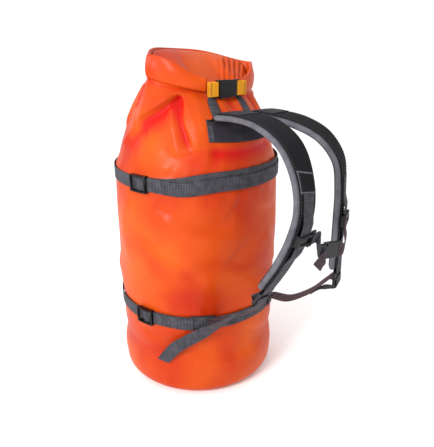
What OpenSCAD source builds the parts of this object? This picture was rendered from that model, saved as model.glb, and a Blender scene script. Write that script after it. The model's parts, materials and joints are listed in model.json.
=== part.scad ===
// Roll-top dry bag with a pack harness, in millimetres.
// +Z is up, the origin is the centre of the base's resting face,
// and the harness and the closure buckle are on the -Y side.

/* [Bag] */
// Radius of the filled tube
tube_r = 160; // [130:1:190]
// Height at which the tube starts to gather into the neck
shoulder_z = 452; // [370:1:545]
// Height from the shoulder to the underside of the roll
neck_rise = 150; // [120:1:180]
// Half width of the neck's top, side to side
neck_half_x = 111; // [100:1:120]
// Half depth of the neck's top, front to back
neck_half_y = 66; // [60:0.5:74]
// How far the neck leans towards the harness
neck_lean = 25; // [15:1:35]
// Tarpaulin thickness
fabric_t = 1; // [0.8:0.1:1.6]
// Radius of the soft corner round the base
base_corner_r = 28; // [18:1:40]
// Height of the base panel's flange inside the tube
base_flange_h = 22; // [14:1:30]
// Width of the tape over the side seam
seam_tape_w = 22; // [16:1:30]

/* [Rolled mouth] */
// Thickness of the roll, front to back
roll_t = 15; // [12:0.5:20]
// Height of the roll round the sides and the back
roll_h = 45; // [38:1:54]
// Height of the roll at its two buckled ends
roll_end_h = 28; // [25:1:34]
// Angle from the front at which each end of the roll stops
roll_end_angle = 20; // [18:1:26]
// Wall of the rolled-up layers
roll_wall = 4; // [3:0.5:5]
// Height of the stiffener strip inside the roll
stiffener_h = 14; // [10:1:17]

/* [Webbing] */
// Width of the closure, compression and strap webbing
webbing_w = 25; // [20:1:27]
// Thickness of all webbing
webbing_t = 1.4; // [1:0.1:2]
// Width of the sternum webbing
sternum_w = 20; // [15:1:22]
// Distance of the upper compression band's centre below the shoulder
upper_band_drop = 13; // [10:1:60]
// Rise of the upper band from its slider to the harness
upper_band_rise = 15; // [0:1:18]
// Height of the lower compression band's centre
lower_band_z = 172; // [120:1:220]
// Angle of the compression sliders round the tube, from the front
slider_angle = -71; // [-90:1:-55]
// Angle round the tube at which the upper tail ends
upper_tail_end_angle = 75; // [40:1:90]
// Angle round the tube at which the lower tail ends
lower_tail_end_angle = -36; // [-50:1:-34]

/* [Harness] */
// Width of a shoulder pad at its top
pad_top_w = 54; // [46:1:64]
// Width of a shoulder pad at its bottom
pad_end_w = 42; // [38:1:52]
// Thickness of a shoulder pad
pad_t = 11; // [8:0.5:16]
// Width of the harness patch on the neck
patch_w = 118; // [100:1:130]
// Distance of the harness patch's upper edge below the front of the roll
patch_drop = 41.3; // [40:0.1:46]
// Height of the harness patch
patch_h = 34; // [28:1:44]

/* [Fits] */
// Gap between soft pieces that lie on each other
seat_gap = 0.3; // [0.3:0.05:0.5]
// Play between webbing and the slot or bar that holds it
web_play = 0.3; // [0.25:0.05:0.5]
// Play between the plug's parts and the socket
buckle_play = 0.4; // [0.3:0.05:0.6]

/* [Hidden] */

tarpaulin = "#EE6430";
webbing_grey = "#5A5860";
dark_patch = "#3C3A42";
mesh_black = "#201E22";
edge_grey = "#8A8890";
buckle_black = "#15151A";
tab_yellow = "#F5B92E";
under_brown = "#5E4A50";

tube_sides = 72;
upper_band_z = shoulder_z - upper_band_drop;
// Falls of the roll's underside: left to right, and back to front
roll_fall_x = -0.094;
roll_fall_y = 0.222;
// Front of the neck under the roll, and where the harness patch lies on it
front_floor_z = roll_floor(0, -neck_lean - neck_half_y);
function front_share(z) = (z - shoulder_z) / (front_floor_z - shoulder_z);
patch_high_z = front_floor_z - patch_drop;
patch_low_z = patch_high_z - patch_h;
function front_y(z) = -neck_share(front_share(z))[1] - neck_share(front_share(z))[2];
// The whole harness moves with the patch's upper edge; the first place suits the set sizes
harness_shift = [0, front_y(patch_high_z) + 132.28, patch_high_z - 546.05];
function with_harness(route) = [for (v = route) concat(place_of(v) + harness_shift, width_of(v))];
// Hanging points follow the harness at its height, and the tube's radius further down
function hanging(v) = let(share = max(0, min(1, (v[2] - 172) / 146)), r = norm([v[0], v[1]]),
    grow = (1 - share) * (tube_r - 160) / r)
    [v[0] * (1 + grow), v[1] * (1 + grow) + share * harness_shift[1],
        v[2] + share * harness_shift[2] + (1 - share) * (lower_band_z - 172)];
function with_hanging(route) = [for (v = route) concat(hanging(v), width_of(v))];
// Rounding of a pad's long edges
pad_edge = 3;
face_t = 1.2;
patch_t = 1.4;
border_t = 0.8;
border_w = 11;
bar_r = 1.6;

// Stack over a pad's middle line, measured outwards
face_mid = pad_t / 2 + seat_gap + face_t / 2;
web_seat = pad_t / 2 + 2 * seat_gap + face_t + webbing_t / 2;
// Extra height of the webbing where a sternum slider runs under it
slider_lift = 3.8;

// Routes: x, y, z of the middle line, then the direction of its width
pad_route_left = with_harness([[-37, -150, 557, 1, 0, 0], [-37, -200, 561, 1, 0, 0],
    [-43, -262, 559, 1, 0.03, 0], [-49, -318, 540, 0.98, 0.14, 0],
    [-57, -354, 505, 0.96, 0.24, 0], [-63, -369, 462, 0.97, 0.24, 0],
    [-69, -363, 418, 0.98, 0.2, 0], [-75, -344, 372, 0.98, 0.18, 0],
    [-81, -319, 329, 0.99, 0.14, 0]]);
pad_route_right = with_harness([[37, -150, 556, 1, 0, 0], [37, -190, 557, 1, 0, 0],
    [46, -238, 552, 0.97, 0.2, 0], [57, -282, 535, 0.9, 0.4, 0],
    [66, -309, 502, 0.85, 0.5, 0], [69, -315, 458, 0.83, 0.55, 0],
    [73, -313, 412, 0.83, 0.55, 0], [79, -309.5, 362, 0.86, 0.5, 0],
    [86, -304, 313, 0.9, 0.43, 0]]);
slider_s_left = 5.92;
slider_s_right = 6.15;
label_s = [4, 4.5];
webbing_s = 4.55;
sternum_mid = [-8, -375, 390] + harness_shift;
sternum_turn = [0, 11, 6];
sternum_scale = sternum_w / webbing_w;

// Functions: unit vectors, a smooth curve through a route, and its frames
function unit(v) = v / norm(v);
function mix(a, b, t) = a + (b - a) * t;
function smooth(t) = let(c = max(0, min(1, t))) c * c * (3 - 2 * c);
function blend_curve(a, b, c, d, t) = 0.5 * (2 * b + (c - a) * t
    + (2 * a - 5 * b + 4 * c - d) * t * t + (3 * b - 3 * c + d - a) * t * t * t);
function along(route, s) = let(last = len(route) - 1, i = max(0, min(floor(s), last - 1)))
    blend_curve(route[max(i - 1, 0)], route[i], route[i + 1], route[min(i + 2, last)], s - i);
function place_of(v) = [v[0], v[1], v[2]];
function width_of(v) = [v[3], v[4], v[5]];
function heading(route, s) = let(e = 0.02, last = len(route) - 1)
    unit(place_of(along(route, min(s + e, last))) - place_of(along(route, max(s - e, 0))));
function cross_dir(route, s) = let(t = heading(route, s), w = width_of(along(route, s)))
    unit(w - (w * t) * t);
function out_dir(route, s) = cross(heading(route, s), cross_dir(route, s));
function off_route(route, s, w, n) = place_of(along(route, s)) + w * cross_dir(route, s)
    + n * out_dir(route, s);
function steps(a, b, n) = [for (i = [0:n]) mix(a, b, i / n)];
// Stations every quarter of a route's leg, so that stacked layers stay parallel
function stations(a, b) = concat([a], [for (i = [ceil(4 * a + 0.01):floor(4 * b - 0.01)]) i / 4], [b]);

// Sections, as [across, outwards] pairs
function flat_section(w, t) = [[-w / 2, -t / 2], [w / 2, -t / 2], [w / 2, t / 2], [-w / 2, t / 2]];
function pad_section(w, t, c) = [[-w / 2 + c, -t / 2], [w / 2 - c, -t / 2],
    [w / 2, -t / 2 + c], [w / 2, t / 2 - c], [w / 2 - c, t / 2], [-w / 2 + c, t / 2],
    [-w / 2, t / 2 - c], [-w / 2, -t / 2 + c]];

// Solid through a list of rings of points; wrap joins the last ring to the first.
// Both halves of a ring split their quads the same way, so stacked layers stay parallel.
module skin(rings, wrap = false) {
    n = len(rings);
    m = len(rings[0]);
    points = [for (ring = rings) each ring];
    links = wrap ? n : n - 1;
    sides = [for (i = [0:links - 1]) for (j = [0:m - 1])
        let(a = i * m + j, b = i * m + (j + 1) % m, c = (i + 1) % n * m + (j + 1) % m,
            d = (i + 1) % n * m + j) each j < m / 2 ? [[a, c, b], [a, d, c]] : [[a, d, b], [b, d, c]]];
    top = (n - 1) * m;
    caps = wrap ? [] : [for (j = [0:m / 2 - 2]) let(a = j, b = j + 1, c = m - 2 - j, d = m - 1 - j)
        each [[a, b, c], [a, c, d], [top + a, top + c, top + b], [top + a, top + d, top + c]]];
    polyhedron(points = points, faces = concat(sides, caps), convexity = 6);
}

// Strip of webbing through frames of [place, heading, direction of its width]
module strip(frames, w, t) {
    skin([for (f = frames) let(out = cross(f[1], f[2]))
        [for (p = flat_section(w, t)) f[0] + p[0] * f[2] + p[1] * out]]);
}
function route_frame(route, s, lift) = [off_route(route, s, 0, lift), heading(route, s),
    cross_dir(route, s)];
// Half turn of radius r round a bar at c: leaves side a, goes round side b, ends opposite a
function turn_frames(c, r, a, b, w) = [for (v = steps(0, 180, 8))
    [c + r * (cos(v) * a + sin(v) * b), cos(v) * b - sin(v) * a, w]];

// Ribbon of one section along a stretch of a route
module ribbon(route, s0, s1, w, t, lift = 0) {
    skin([for (s = stations(s0, s1)) [for (p = flat_section(w, t))
        off_route(route, s, p[0], p[1] + lift)]]);
}

// Puts a child on a route: x across, y along the heading, z outwards
module on_route(route, s, lift) {
    x = cross_dir(route, s);
    y = heading(route, s);
    z = out_dir(route, s);
    o = off_route(route, s, 0, lift);
    multmatrix([[x[0], y[0], z[0], o[0]], [x[1], y[1], z[1], o[1]],
        [x[2], y[2], z[2], o[2]], [0, 0, 0, 1]]) children();
}

// Neck surface: angle from the front, share of the rise, distance outwards
function neck_share(u) = [mix(tube_r, neck_half_x, pow(u, 0.7)),
    mix(tube_r, neck_half_y, pow(u, 2.2)), neck_lean * pow(u, 1.5)];
function roll_floor(x, y) = shoulder_z + neck_rise + roll_fall_x * x
    + roll_fall_y * (y + neck_lean);
function neck_point(angle, u, off) = let(h = neck_share(u),
    top_x = neck_half_x * sin(angle), top_y = -neck_lean - neck_half_y * cos(angle))
    [(h[0] + off) * sin(angle), -h[2] - (h[1] + off) * cos(angle),
    mix(shoulder_z, roll_floor(top_x, top_y), u)];
function neck_ring(u, off) = [for (k = [0:tube_sides - 1]) neck_point(360 * k / tube_sides, u, off)];
function tube_ring(z, off) = [for (k = [0:tube_sides - 1]) let(a = 360 * k / tube_sides)
    [(tube_r + off) * sin(a), -(tube_r + off) * cos(a), z]];
// Flat ring on the closed top of the neck
function top_ring(share, drop) = [for (k = [0:tube_sides - 1]) let(a = 360 * k / tube_sides,
    x = share * neck_half_x * sin(a), y = -neck_lean - share * neck_half_y * cos(a))
    [x, y, roll_floor(x, y) - drop]];
// Gathered cloth inside the roll: it climbs from the front of the roll to its back
cover_share = 0.86;
function cover_ring(share, drop) = [for (p = top_ring(share, drop)) p + [0, 0, (roll_h - 4)
    * smooth((p[1] + neck_lean + cover_share * neck_half_y) / (2 * cover_share * neck_half_y))]];
function tube_point(angle, r, z) = [r * sin(angle), -r * cos(angle), z];

module bag_tube() {
    rise = [0.03, 0.08, 0.16, 0.28, 0.42, 0.56, 0.7, 0.82, 0.92];
    outside = concat([for (share = [0.06, 0.2, 0.4, 0.6, 0.75, cover_share]) cover_ring(share, 0)],
        [top_ring(cover_share + 0.012, 0), neck_ring(1, 0)],
        [for (i = [len(rise) - 1:-1:0]) neck_ring(rise[i], 0)],
        [tube_ring(shoulder_z, 0), tube_ring(base_corner_r, 0)]);
    inside = concat([tube_ring(base_corner_r, -fabric_t), tube_ring(shoulder_z, -fabric_t)],
        [for (u = rise) neck_ring(u * 0.99, -fabric_t)],
        [top_ring(0.96, 2 * fabric_t), top_ring(cover_share, fabric_t)],
        [for (share = [cover_share - 0.013, 0.75, 0.6, 0.4, 0.2, 0.06]) cover_ring(share, fabric_t)]);
    color(tarpaulin) skin(concat(outside, inside));
}

module base_panel() {
    flange_r = tube_r - fabric_t - 2 * seat_gap;
    color(tarpaulin) {
        rotate_extrude($fn = 96) difference() {
            union() {
                square([tube_r - base_corner_r, fabric_t]);
                translate([tube_r - base_corner_r, base_corner_r]) difference() {
                    circle(r = base_corner_r, $fn = 64);
                    circle(r = base_corner_r - fabric_t, $fn = 64);
                    translate([-2 * base_corner_r, -base_corner_r])
                        square([2 * base_corner_r, 3 * base_corner_r]);
                    translate([0, -seat_gap]) square([2 * base_corner_r, 2 * base_corner_r]);
                }
                translate([flange_r - fabric_t, base_corner_r - 3])
                    square([fabric_t, base_flange_h]);
                translate([flange_r - fabric_t, base_corner_r - 3])
                    square([2.5 * fabric_t, 2.5]);
            }
            translate([-1, -1]) square([1, 2 * base_corner_r]);
        }
    }
}

module side_seam_tape() {
    r = tube_r - fabric_t - 2 * seat_gap;
    half = seam_tape_w / 2 / r * 180 / PI;
    low = base_corner_r + base_flange_h;
    color(tarpaulin) translate([0, 0, low]) rotate([0, 0, 180 - half])
        rotate([0, 0, -90]) rotate_extrude(angle = 2 * half, $fn = 96)
        translate([r - fabric_t, 0]) square([fabric_t, shoulder_z - low - 8]);
}

// Roll: its middle line, its height and its section at an angle from the front
roll_front = 13.5;
roll_half_x = neck_half_x - roll_t / 2 + 1.5;
roll_half_y = neck_half_y + roll_front - roll_t / 2;
function roll_mid(a) = [roll_half_x * sin(a), -neck_lean - roll_half_y * cos(a)];
function roll_out(a) = unit([sin(a) / roll_half_x, -cos(a) / roll_half_y]);
function roll_height(a) = mix(roll_end_h, roll_h, smooth((min(a, 360 - a) - roll_end_angle) / 44));
function roll_ring(a, half_t, trim) = let(m = roll_mid(a), o = roll_out(a),
    low = roll_floor(m[0], m[1]) + seat_gap + 0.8 + trim,
    high = low + roll_height(a) - 2 * trim, c = half_t * 0.55)
    [for (p = [[-half_t + c, low], [half_t - c, low], [half_t, low + c], [half_t, high - c],
        [half_t - c, high], [-half_t + c, high], [-half_t, high - c], [-half_t, low + c]])
        [m[0] + o[0] * p[0], m[1] + o[1] * p[0], p[1]]];
roll_angles = steps(360 - roll_end_angle, roll_end_angle, 44);

module rolled_mouth() {
    outer = [for (a = roll_angles) roll_ring(a, roll_t / 2, 0)];
    inner = [for (i = [len(roll_angles) - 1:-1:0])
        roll_ring(roll_angles[i], roll_t / 2 - roll_wall, roll_wall)];
    color(tarpaulin) skin(concat(outer, inner), wrap = true);
}

module mouth_stiffener() {
    half = (roll_t / 2 - roll_wall) - 2 * seat_gap;
    color(mesh_black) skin([for (a = steps(360 - roll_end_angle - 2, roll_end_angle + 2, 40))
        let(m = roll_mid(a), o = roll_out(a),
            low = roll_floor(m[0], m[1]) + roll_wall + 3 * seat_gap + 0.8,
            high = low + stiffener_h)
        [[m[0] - o[0] * half, m[1] - o[1] * half, low + 1], [m[0] + o[0] * half, m[1] + o[1] * half, low + 1],
        [m[0] + o[0] * half, m[1] + o[1] * half, high], [m[0] - o[0] * half, m[1] - o[1] * half, high]]]);
}

// Side-release buckle for a 25 mm web, latched, x along the pull, z across the web
buckle_half = 24;
buckle_h = 9;
buckle_wall = 1.2;
mouth_x = 4;
socket_half_z = webbing_w / 2 + 2.5;
cavity_z = socket_half_z - buckle_wall;
cavity_y = buckle_h / 2 - 1.5;
loop_in = bar_r + web_play;
loop_out = loop_in + webbing_t;
bar_x = buckle_half - bar_r - 0.6;
slot_in = bar_x - loop_out - web_play;
prong_z = cavity_z - buckle_play;
prong_thick = 2.6;
prong_tip = -10;
prong_root = mouth_x - 1;

module web_bar_end(side) {
    // Side walls and the bar that a webbing loop goes round
    translate([side * bar_x, 0, 0]) cylinder(r = bar_r, h = 2 * cavity_z + 0.4, center = true, $fn = 32);
    for (z = [-1, 1]) translate([side * (bar_x + slot_in) / 2, 0, z * (cavity_z + buckle_wall / 2)])
        cube([bar_x - slot_in + 2 * bar_r + 1.2, buckle_h - 2, buckle_wall], center = true);
}

module buckle_socket() {
    length = mouth_x + slot_in;
    difference() {
        translate([(mouth_x - slot_in) / 2, 0, 0])
            cube([length, buckle_h, 2 * socket_half_z], center = true);
        translate([(mouth_x + prong_tip) / 2, 0, 0])
            cube([mouth_x - prong_tip + 3, 2 * cavity_y, 2 * cavity_z], center = true);
        for (z = [-1, 1]) translate([-7, 0, z * socket_half_z])
            cube([8.5, 2 * cavity_y, 4 * buckle_wall], center = true);
    }
    web_bar_end(-1);
}

module buckle_plug() {
    base_low = mouth_x + seat_gap;
    translate([(base_low + slot_in) / 2, 0, 0])
        cube([slot_in - base_low, buckle_h - 1, 2 * socket_half_z - 1], center = true);
    translate([(base_low - 9) / 2, 0, 0])
        cube([base_low + 9.2, 2 * (cavity_y - buckle_play), 7], center = true);
    web_bar_end(1);
}

module buckle_prong(side) {
    // Upper (1) or lower (-1) prong: a thin arm and a thick head
    arm_mid = prong_z - prong_thick / 2 - 1.4;
    height = 2 * (cavity_y - buckle_play);
    translate([(prong_root + prong_tip + 2) / 2, 0, side * arm_mid])
        cube([prong_root - prong_tip - 2, height, prong_thick], center = true);
    translate([-7, 0, side * (prong_z - 2.4)]) cube([6, height, 4.8], center = true);
}

// U of webbing round a buckle bar, with legs that run outwards from the buckle
module web_loop(side, legs, w) {
    translate([side * bar_x, 0, -w / 2]) mirror([side > 0 ? 0 : 1, 0, 0]) linear_extrude(w) {
        difference() {
            circle(r = loop_out, $fn = 48);
            circle(r = loop_in, $fn = 48);
            translate([0, -loop_out - 1]) square([loop_out + 1, 2 * loop_out + 2]);
        }
        for (y = [loop_in, -loop_out]) translate([0, y]) square([legs, webbing_t]);
    }
}

closure_y = -(neck_lean + neck_half_y + roll_front - 0.5);
closure_z = shoulder_z + neck_rise - 5;
tab_reach = 40;

module at_closure() {
    translate([0, closure_y, closure_z]) children();
}

module closure_tab_left() {
    color(tab_yellow) at_closure() web_loop(-1, tab_reach - bar_x, webbing_w);
}

module closure_tab_right() {
    color(tab_yellow) at_closure() web_loop(1, tab_reach - bar_x, webbing_w);
}

module closure_buckle_socket() {
    color(buckle_black) at_closure() buckle_socket();
}

module closure_buckle_plug() {
    color(buckle_black) at_closure() buckle_plug();
}

module closure_prong_upper() {
    color(buckle_black) at_closure() buckle_prong(1);
}

module closure_prong_lower() {
    color(buckle_black) at_closure() buckle_prong(-1);
}

// Haul loop: an inverted U of webbing up the front of the neck and behind the buckle.
// Rows: inner x, inner height, outer x, outer height; heights over the neck's front edge.
haul_rows = [[26, -34.7, 43.5, -34.7], [26, -30.5, 43.5, -30.5], [25.6, -24.3, 43.1, -24.3],
    [25.2, -17, 42.6, -17], [24.9, -10.8, 41.5, -10.8], [24.8, -6, 37.5, -5.5], [24.6, -2.5, 34, 0],
    [16, 0.5, 32, 12], [8, 0.5, 16, 12], [0, 0.5, 0, 12]];
haul_near = 0.7;
haul_far = haul_near + 1.4 * webbing_t;
function side_share(x, z) = (z - shoulder_z) / (roll_floor(x,
    -neck_lean - neck_half_y * sqrt(1 - pow(x / neck_half_x, 2))) - shoulder_z);
function haul_point(x, rise, off) = let(u = side_share(x, front_floor_z + min(rise, -5)),
    h = neck_share(u), reach = h[0] + off)
    [x, rise > -4 ? closure_y + buckle_h / 2 + 0.6 + haul_far - off
    : -h[2] - (h[1] + off) * sqrt(1 - x * x / reach / reach), front_floor_z + rise];
function haul_ring(row, side) = concat(
    [for (t = [0:3]) haul_point(side * mix(row[0], row[2], t / 3), mix(row[1], row[3], t / 3), haul_near)],
    [for (t = [3:-1:0]) haul_point(side * mix(row[0], row[2], t / 3), mix(row[1], row[3], t / 3), haul_far)]);

module haul_loop() {
    last = len(haul_rows) - 1;
    color(webbing_grey) skin(concat([for (row = haul_rows) haul_ring(row, -1)],
        [for (i = [last - 1:-1:0]) haul_ring(haul_rows[i], 1)]));
}

module neck_panel(a0, a1, z0, z1, off, t) {
    skin([for (a = steps(a0, a1, 12)) concat(
        [for (z = steps(z0, z1, 4)) neck_point(a, front_share(z), off)],
        [for (z = steps(z1, z0, 4)) neck_point(a, front_share(z), off + t)])]);
}

patch_half_angle = asin(patch_w / 2 / neck_share(front_share(patch_low_z))[0]);

module harness_patch() {
    color(dark_patch) neck_panel(-patch_half_angle, patch_half_angle,
        patch_low_z, patch_high_z, 2.5 * seat_gap, patch_t);
}

module harness_patch_border() {
    strip = border_w / tube_r * 180 / PI;
    color(webbing_grey) for (to = [patch_half_angle, strip - patch_half_angle])
        neck_panel(to - strip, to, patch_low_z + 1, patch_high_z - 8,
            4 * seat_gap + patch_t, border_t);
}

// Compression bands, tails and sliders
upper_band_r = tube_r + seat_gap;
keeper_t = 1;
lower_band_r = tube_r + 2 * seat_gap + keeper_t;
slider_half = 18;
slider_bar = 4;
slider_rail = 2.6;

// Extra height of a band at an angle from -180 to 180: up towards the front and the right
function band_rise(a, rise) = rise * smooth((a + 59) / 45) * smooth((150 - a) / 60);

module band(r, z, rise) {
    skin([for (k = [-48:47]) let(a = k * 3.75, mid = z + band_rise(a, rise))
        [tube_point(a, r, mid - webbing_w / 2), tube_point(a, r, mid + webbing_w / 2),
        tube_point(a, r + webbing_t, mid + webbing_w / 2),
        tube_point(a, r + webbing_t, mid - webbing_w / 2)]], wrap = true);
}

// Tail: lies on the band, lifts over the slider's middle bar, and drifts down
module band_tail(r, z, end_angle, drift, rise) {
    lie = r + webbing_t + 2 * seat_gap;
    lift = 2.6;
    run = 30;
    color(webbing_grey) skin([for (a = steps(slider_angle - 0.5, end_angle, 36))
        let(past = (a - slider_angle), low = lie + lift * (1 - smooth(past / 4)),
            mid = z + band_rise(a, rise) - drift * smooth((past - 8) / run))
        [tube_point(a, low, mid - webbing_w / 2), tube_point(a, low, mid + webbing_w / 2),
        tube_point(a, low + webbing_t, mid + webbing_w / 2),
        tube_point(a, low + webbing_t, mid - webbing_w / 2)]]);
}

// Three-bar slider whose frame follows the tube
module band_slider(r, z) {
    rail_in = r + 0.2;
    rail_out = r + 9;
    half = webbing_w / 2 + web_play;
    span = slider_half / r * 180 / PI;
    bar_span = slider_bar / 2 / r * 180 / PI;
    color(buckle_black) rotate([0, 0, slider_angle - 90]) {
        for (side = [-1, 1]) translate([0, 0, z + side * (half + slider_rail / 2) - slider_rail / 2])
            rotate([0, 0, -span]) rotate_extrude(angle = 2 * span, $fn = 96)
            translate([rail_in, 0]) square([rail_out - rail_in, slider_rail]);
        for (k = [-1, 0, 1]) translate([0, 0, z - half - 0.5])
            rotate([0, 0, k * (span - bar_span) - bar_span]) rotate_extrude(angle = 2 * bar_span, $fn = 96)
            translate([k == 0 ? r + webbing_t + web_play : rail_out - 3, 0])
            square([k == 0 ? 1.9 : 3, 2 * half + 1]);
    }
}

module upper_band() {
    color(webbing_grey) band(upper_band_r, upper_band_z, upper_band_rise);
}

module upper_band_tail() {
    band_tail(upper_band_r, upper_band_z, upper_tail_end_angle, 11, upper_band_rise);
}

module upper_band_slider() {
    band_slider(upper_band_r, upper_band_z);
}

module lower_band() {
    color(webbing_grey) band(lower_band_r, lower_band_z, 0);
}

module lower_band_tail() {
    band_tail(lower_band_r, lower_band_z, lower_tail_end_angle, 2, 0);
}

module lower_band_slider() {
    band_slider(lower_band_r, lower_band_z);
}

// Keeper patches that hold the lower band at its height
module band_keeper(side) {
    color(dark_patch) rotate([0, 0, -90 + side * 30]) rotate([0, 0, -8])
        translate([0, 0, lower_band_z - webbing_w / 2 - 2])
        rotate_extrude(angle = 16, $fn = 96)
        translate([tube_r + seat_gap, 0]) square([keeper_t, webbing_w + 4]);
}

module band_keeper_left() {
    band_keeper(-1);
}

module band_keeper_right() {
    band_keeper(1);
}

// Shoulder straps
function pad_width(route, s) = mix(pad_top_w, pad_end_w, smooth(s / (len(route) - 2)));

module shoulder_pad(route) {
    last = len(route) - 1;
    color(edge_grey) skin([for (s = stations(0, last)) let(w = pad_width(route, s))
        [for (p = pad_section(w, pad_t, pad_edge)) off_route(route, s, p[0], p[1])]]);
}

module pad_face(route) {
    last = len(route) - 1;
    color(mesh_black) skin([for (s = stations(0.25, last - 0.25))
        let(w = pad_width(route, s) - 2 * pad_edge - 2)
        [for (p = flat_section(w, face_t)) off_route(route, s, p[0], p[1] + face_mid)]]);
}

module pad_top_patch(route) {
    color(dark_patch) ribbon(route, 0.25, 1.25, pad_top_w - 2 * pad_edge - 6, 1,
        face_mid + face_t / 2 + seat_gap + 0.5);
}

module strap_tongue(route) {
    // Two layers of webbing from the patch's top edge to the pad's end
    start = place_of(route[0]);
    root_y = front_y(patch_high_z) + 2;
    x = start[0];
    w = pad_top_w - 8;
    rise = [[root_y - 2.5, patch_high_z + 3.5], [root_y - 9, patch_high_z + 6],
        [start[1] + seat_gap, start[2]]];
    color(mesh_black) skin([for (p = rise) [[x - w / 2, p[0], p[1] - 1.5], [x + w / 2, p[0], p[1] - 1.5],
        [x + w / 2, p[0], p[1] + 1.5], [x - w / 2, p[0], p[1] + 1.5]]]);
}

// Strap webbing: rises over the sternum slider and ends in a loop round the lock's bar
function web_lift(s, slider_s) = web_seat + slider_lift * (1 - smooth((abs(s - slider_s) - 0.45) / 0.45));
lock_gap = 9;
lock_seat = web_seat - bar_r - web_play - webbing_t / 2;

module pad_webbing(route, slider_s) {
    last = len(route) - 1;
    run = heading(route, last);
    up = out_dir(route, last);
    w = cross_dir(route, last);
    bar = off_route(route, last, 0, lock_seat) + lock_gap * run;
    turn_r = loop_in + webbing_t / 2;
    color(webbing_grey) strip(concat(
        [for (s = stations(webbing_s, last)) route_frame(route, s, web_lift(s, slider_s))],
        turn_frames(bar, turn_r, up, run, w),
        [[bar - turn_r * up - (lock_gap - 1) * run, -run, w]]), webbing_w, webbing_t);
}

module ladder_lock(route) {
    half = webbing_w / 2 + web_play + 0.4;
    rail = 2.8;
    reach = 24;
    color(buckle_black) on_route(route, len(route) - 1, lock_seat)
        translate([0, lock_gap, 0]) {
            for (side = [-1, 1]) translate([side * (half + rail / 2), reach / 2 - 1.2, 0])
                cube([rail, reach + 2.4, 5], center = true);
            rotate([0, 90, 0]) cylinder(r = bar_r, h = 2 * half + 0.6, center = true, $fn = 32);
            translate([0, 9, 0]) cube([2 * half + 0.6, 3.4, 3.4], center = true);
            translate([0, reach - 2, 0.4]) cube([2 * half + 0.6, 4, 4.2], center = true);
            translate([0, reach + 2.4, 1]) cube([16, 5, 3], center = true);
        }
}

module strap_slider(route, s, side) {
    // Frame round the strap webbing, with a side ring for the sternum webbing
    half = webbing_w / 2 + web_play;
    color(buckle_black) on_route(route, s, web_seat + slider_lift) {
        for (x = [-1, 1]) translate([x * (half + 1.2), 0, 0]) cube([2.4, 18, 8.4], center = true);
        for (y = [-7, 7]) translate([0, y, 3.3]) cube([2 * half + 0.6, 4, 1.8], center = true);
        translate([0, 0, -3.3]) cube([2 * half + 0.6, 5, 1.8], center = true);
        for (y = [-1, 1]) translate([side * (half + 5.4), y * 11.9, 2]) cube([8.4, 2.2, 3.2], center = true);
        for (y = [-1, 1]) translate([side * (half + 1.2), y * 10.9, 2]) cube([2.4, 4.2, 3.2], center = true);
        translate([side * (half + 8), 0, 2]) rotate([90, 0, 0])
            cylinder(r = bar_r, h = 23, center = true, $fn = 32);
    }
}

function ring_bar(route, s, side) = off_route(route, s, side * (webbing_w / 2 + web_play + 8),
    web_seat + slider_lift + 2);

// Point on a ladder lock: distance past its hinge bar, and height over its middle
function lock_point(route, y, n) = off_route(route, len(route) - 1, 0, lock_seat + n)
    + (lock_gap + y) * heading(route, len(route) - 1);
function with_width(p, w) = concat(p, w);
function round_tube(angle) = [cos(angle), sin(angle), 0];

module pad_label() {
    color(mesh_black) ribbon(pad_route_left, label_s[0], label_s[1],
        pad_end_w - 2 * pad_edge - 3, 0.8, face_mid + face_t / 2 + seat_gap + 0.4);
}

// Lower webbing: from the slot of the lock to its seam on the lower band
anchor_angle_left = -22;
anchor_angle_right = 32;
lower_seam_r = lower_band_r + webbing_t + seat_gap + webbing_t / 2;

module lower_webbing(route, angle, sag, drop) {
    across = cross_dir(route, len(route) - 1);
    w = round_tube(angle);
    path = concat([with_width(lock_point(route, 15.2, 2.4), across),
        with_width(lock_point(route, 15.2, -4), across),
        with_width(lock_point(route, 16, -9), across)],
        [for (v = sag) with_width(hanging(v), mix(across, w, 0.5))],
        [with_width(tube_point(angle, lower_seam_r + 5, lower_band_z + 12 - drop), w),
        with_width(tube_point(angle, lower_seam_r + 0.9, lower_band_z + 2 - drop), w),
        with_width(tube_point(angle, lower_seam_r + 0.4, lower_band_z - 8 - drop), w)]);
    color(under_brown) ribbon(path, 0, len(path) - 1, webbing_w, webbing_t);
}

module lower_webbing_left() {
    lower_webbing(pad_route_left, anchor_angle_left,
        [[-71, -289, 275], [-65, -242, 235], [-61, -193, 201]], 0);
}

module lower_webbing_right() {
    lower_webbing(pad_route_right, anchor_angle_right,
        [[88, -280, 269], [90, -245, 233], [90, -194, 196]], 4);
}

// Free tails, from the front of the lock; the left one lies down against the tube
tail_route_left = with_hanging([[-97, -296, 280, 1, 0, 0], [-94, -258, 251, 1, 0, 0],
    [-84, -204, 205, 0.95, -0.2, -0.1], [-77, -165, 172, 0.8, -0.35, -0.3],
    [-92, -146, 153, 0.5, -0.35, -0.7], [-110, -130, 137, 0.35, -0.3, -0.85],
    [-127, -114, 119, 0.25, -0.3, -0.9], [-143, -92, 84, 0.6, -0.2, -0.75]]);
tail_route_right = with_hanging([[92, -296, 264, 1, 0, 0], [90, -277, 256, 0.95, 0.25, 0],
    [90, -258, 240, 0.9, 0.35, 0]]);

module lower_tail(route, points) {
    across = cross_dir(route, len(route) - 1);
    path = concat([with_width(lock_point(route, 12, 3.4), across),
        with_width(lock_point(route, 30, 3.4), across)], points);
    color(webbing_grey) ribbon(path, 0, len(path) - 1, webbing_w, webbing_t);
}

module lower_tail_left() {
    lower_tail(pad_route_left, tail_route_left);
}

module lower_tail_right() {
    lower_tail(pad_route_right, tail_route_right);
}

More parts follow.
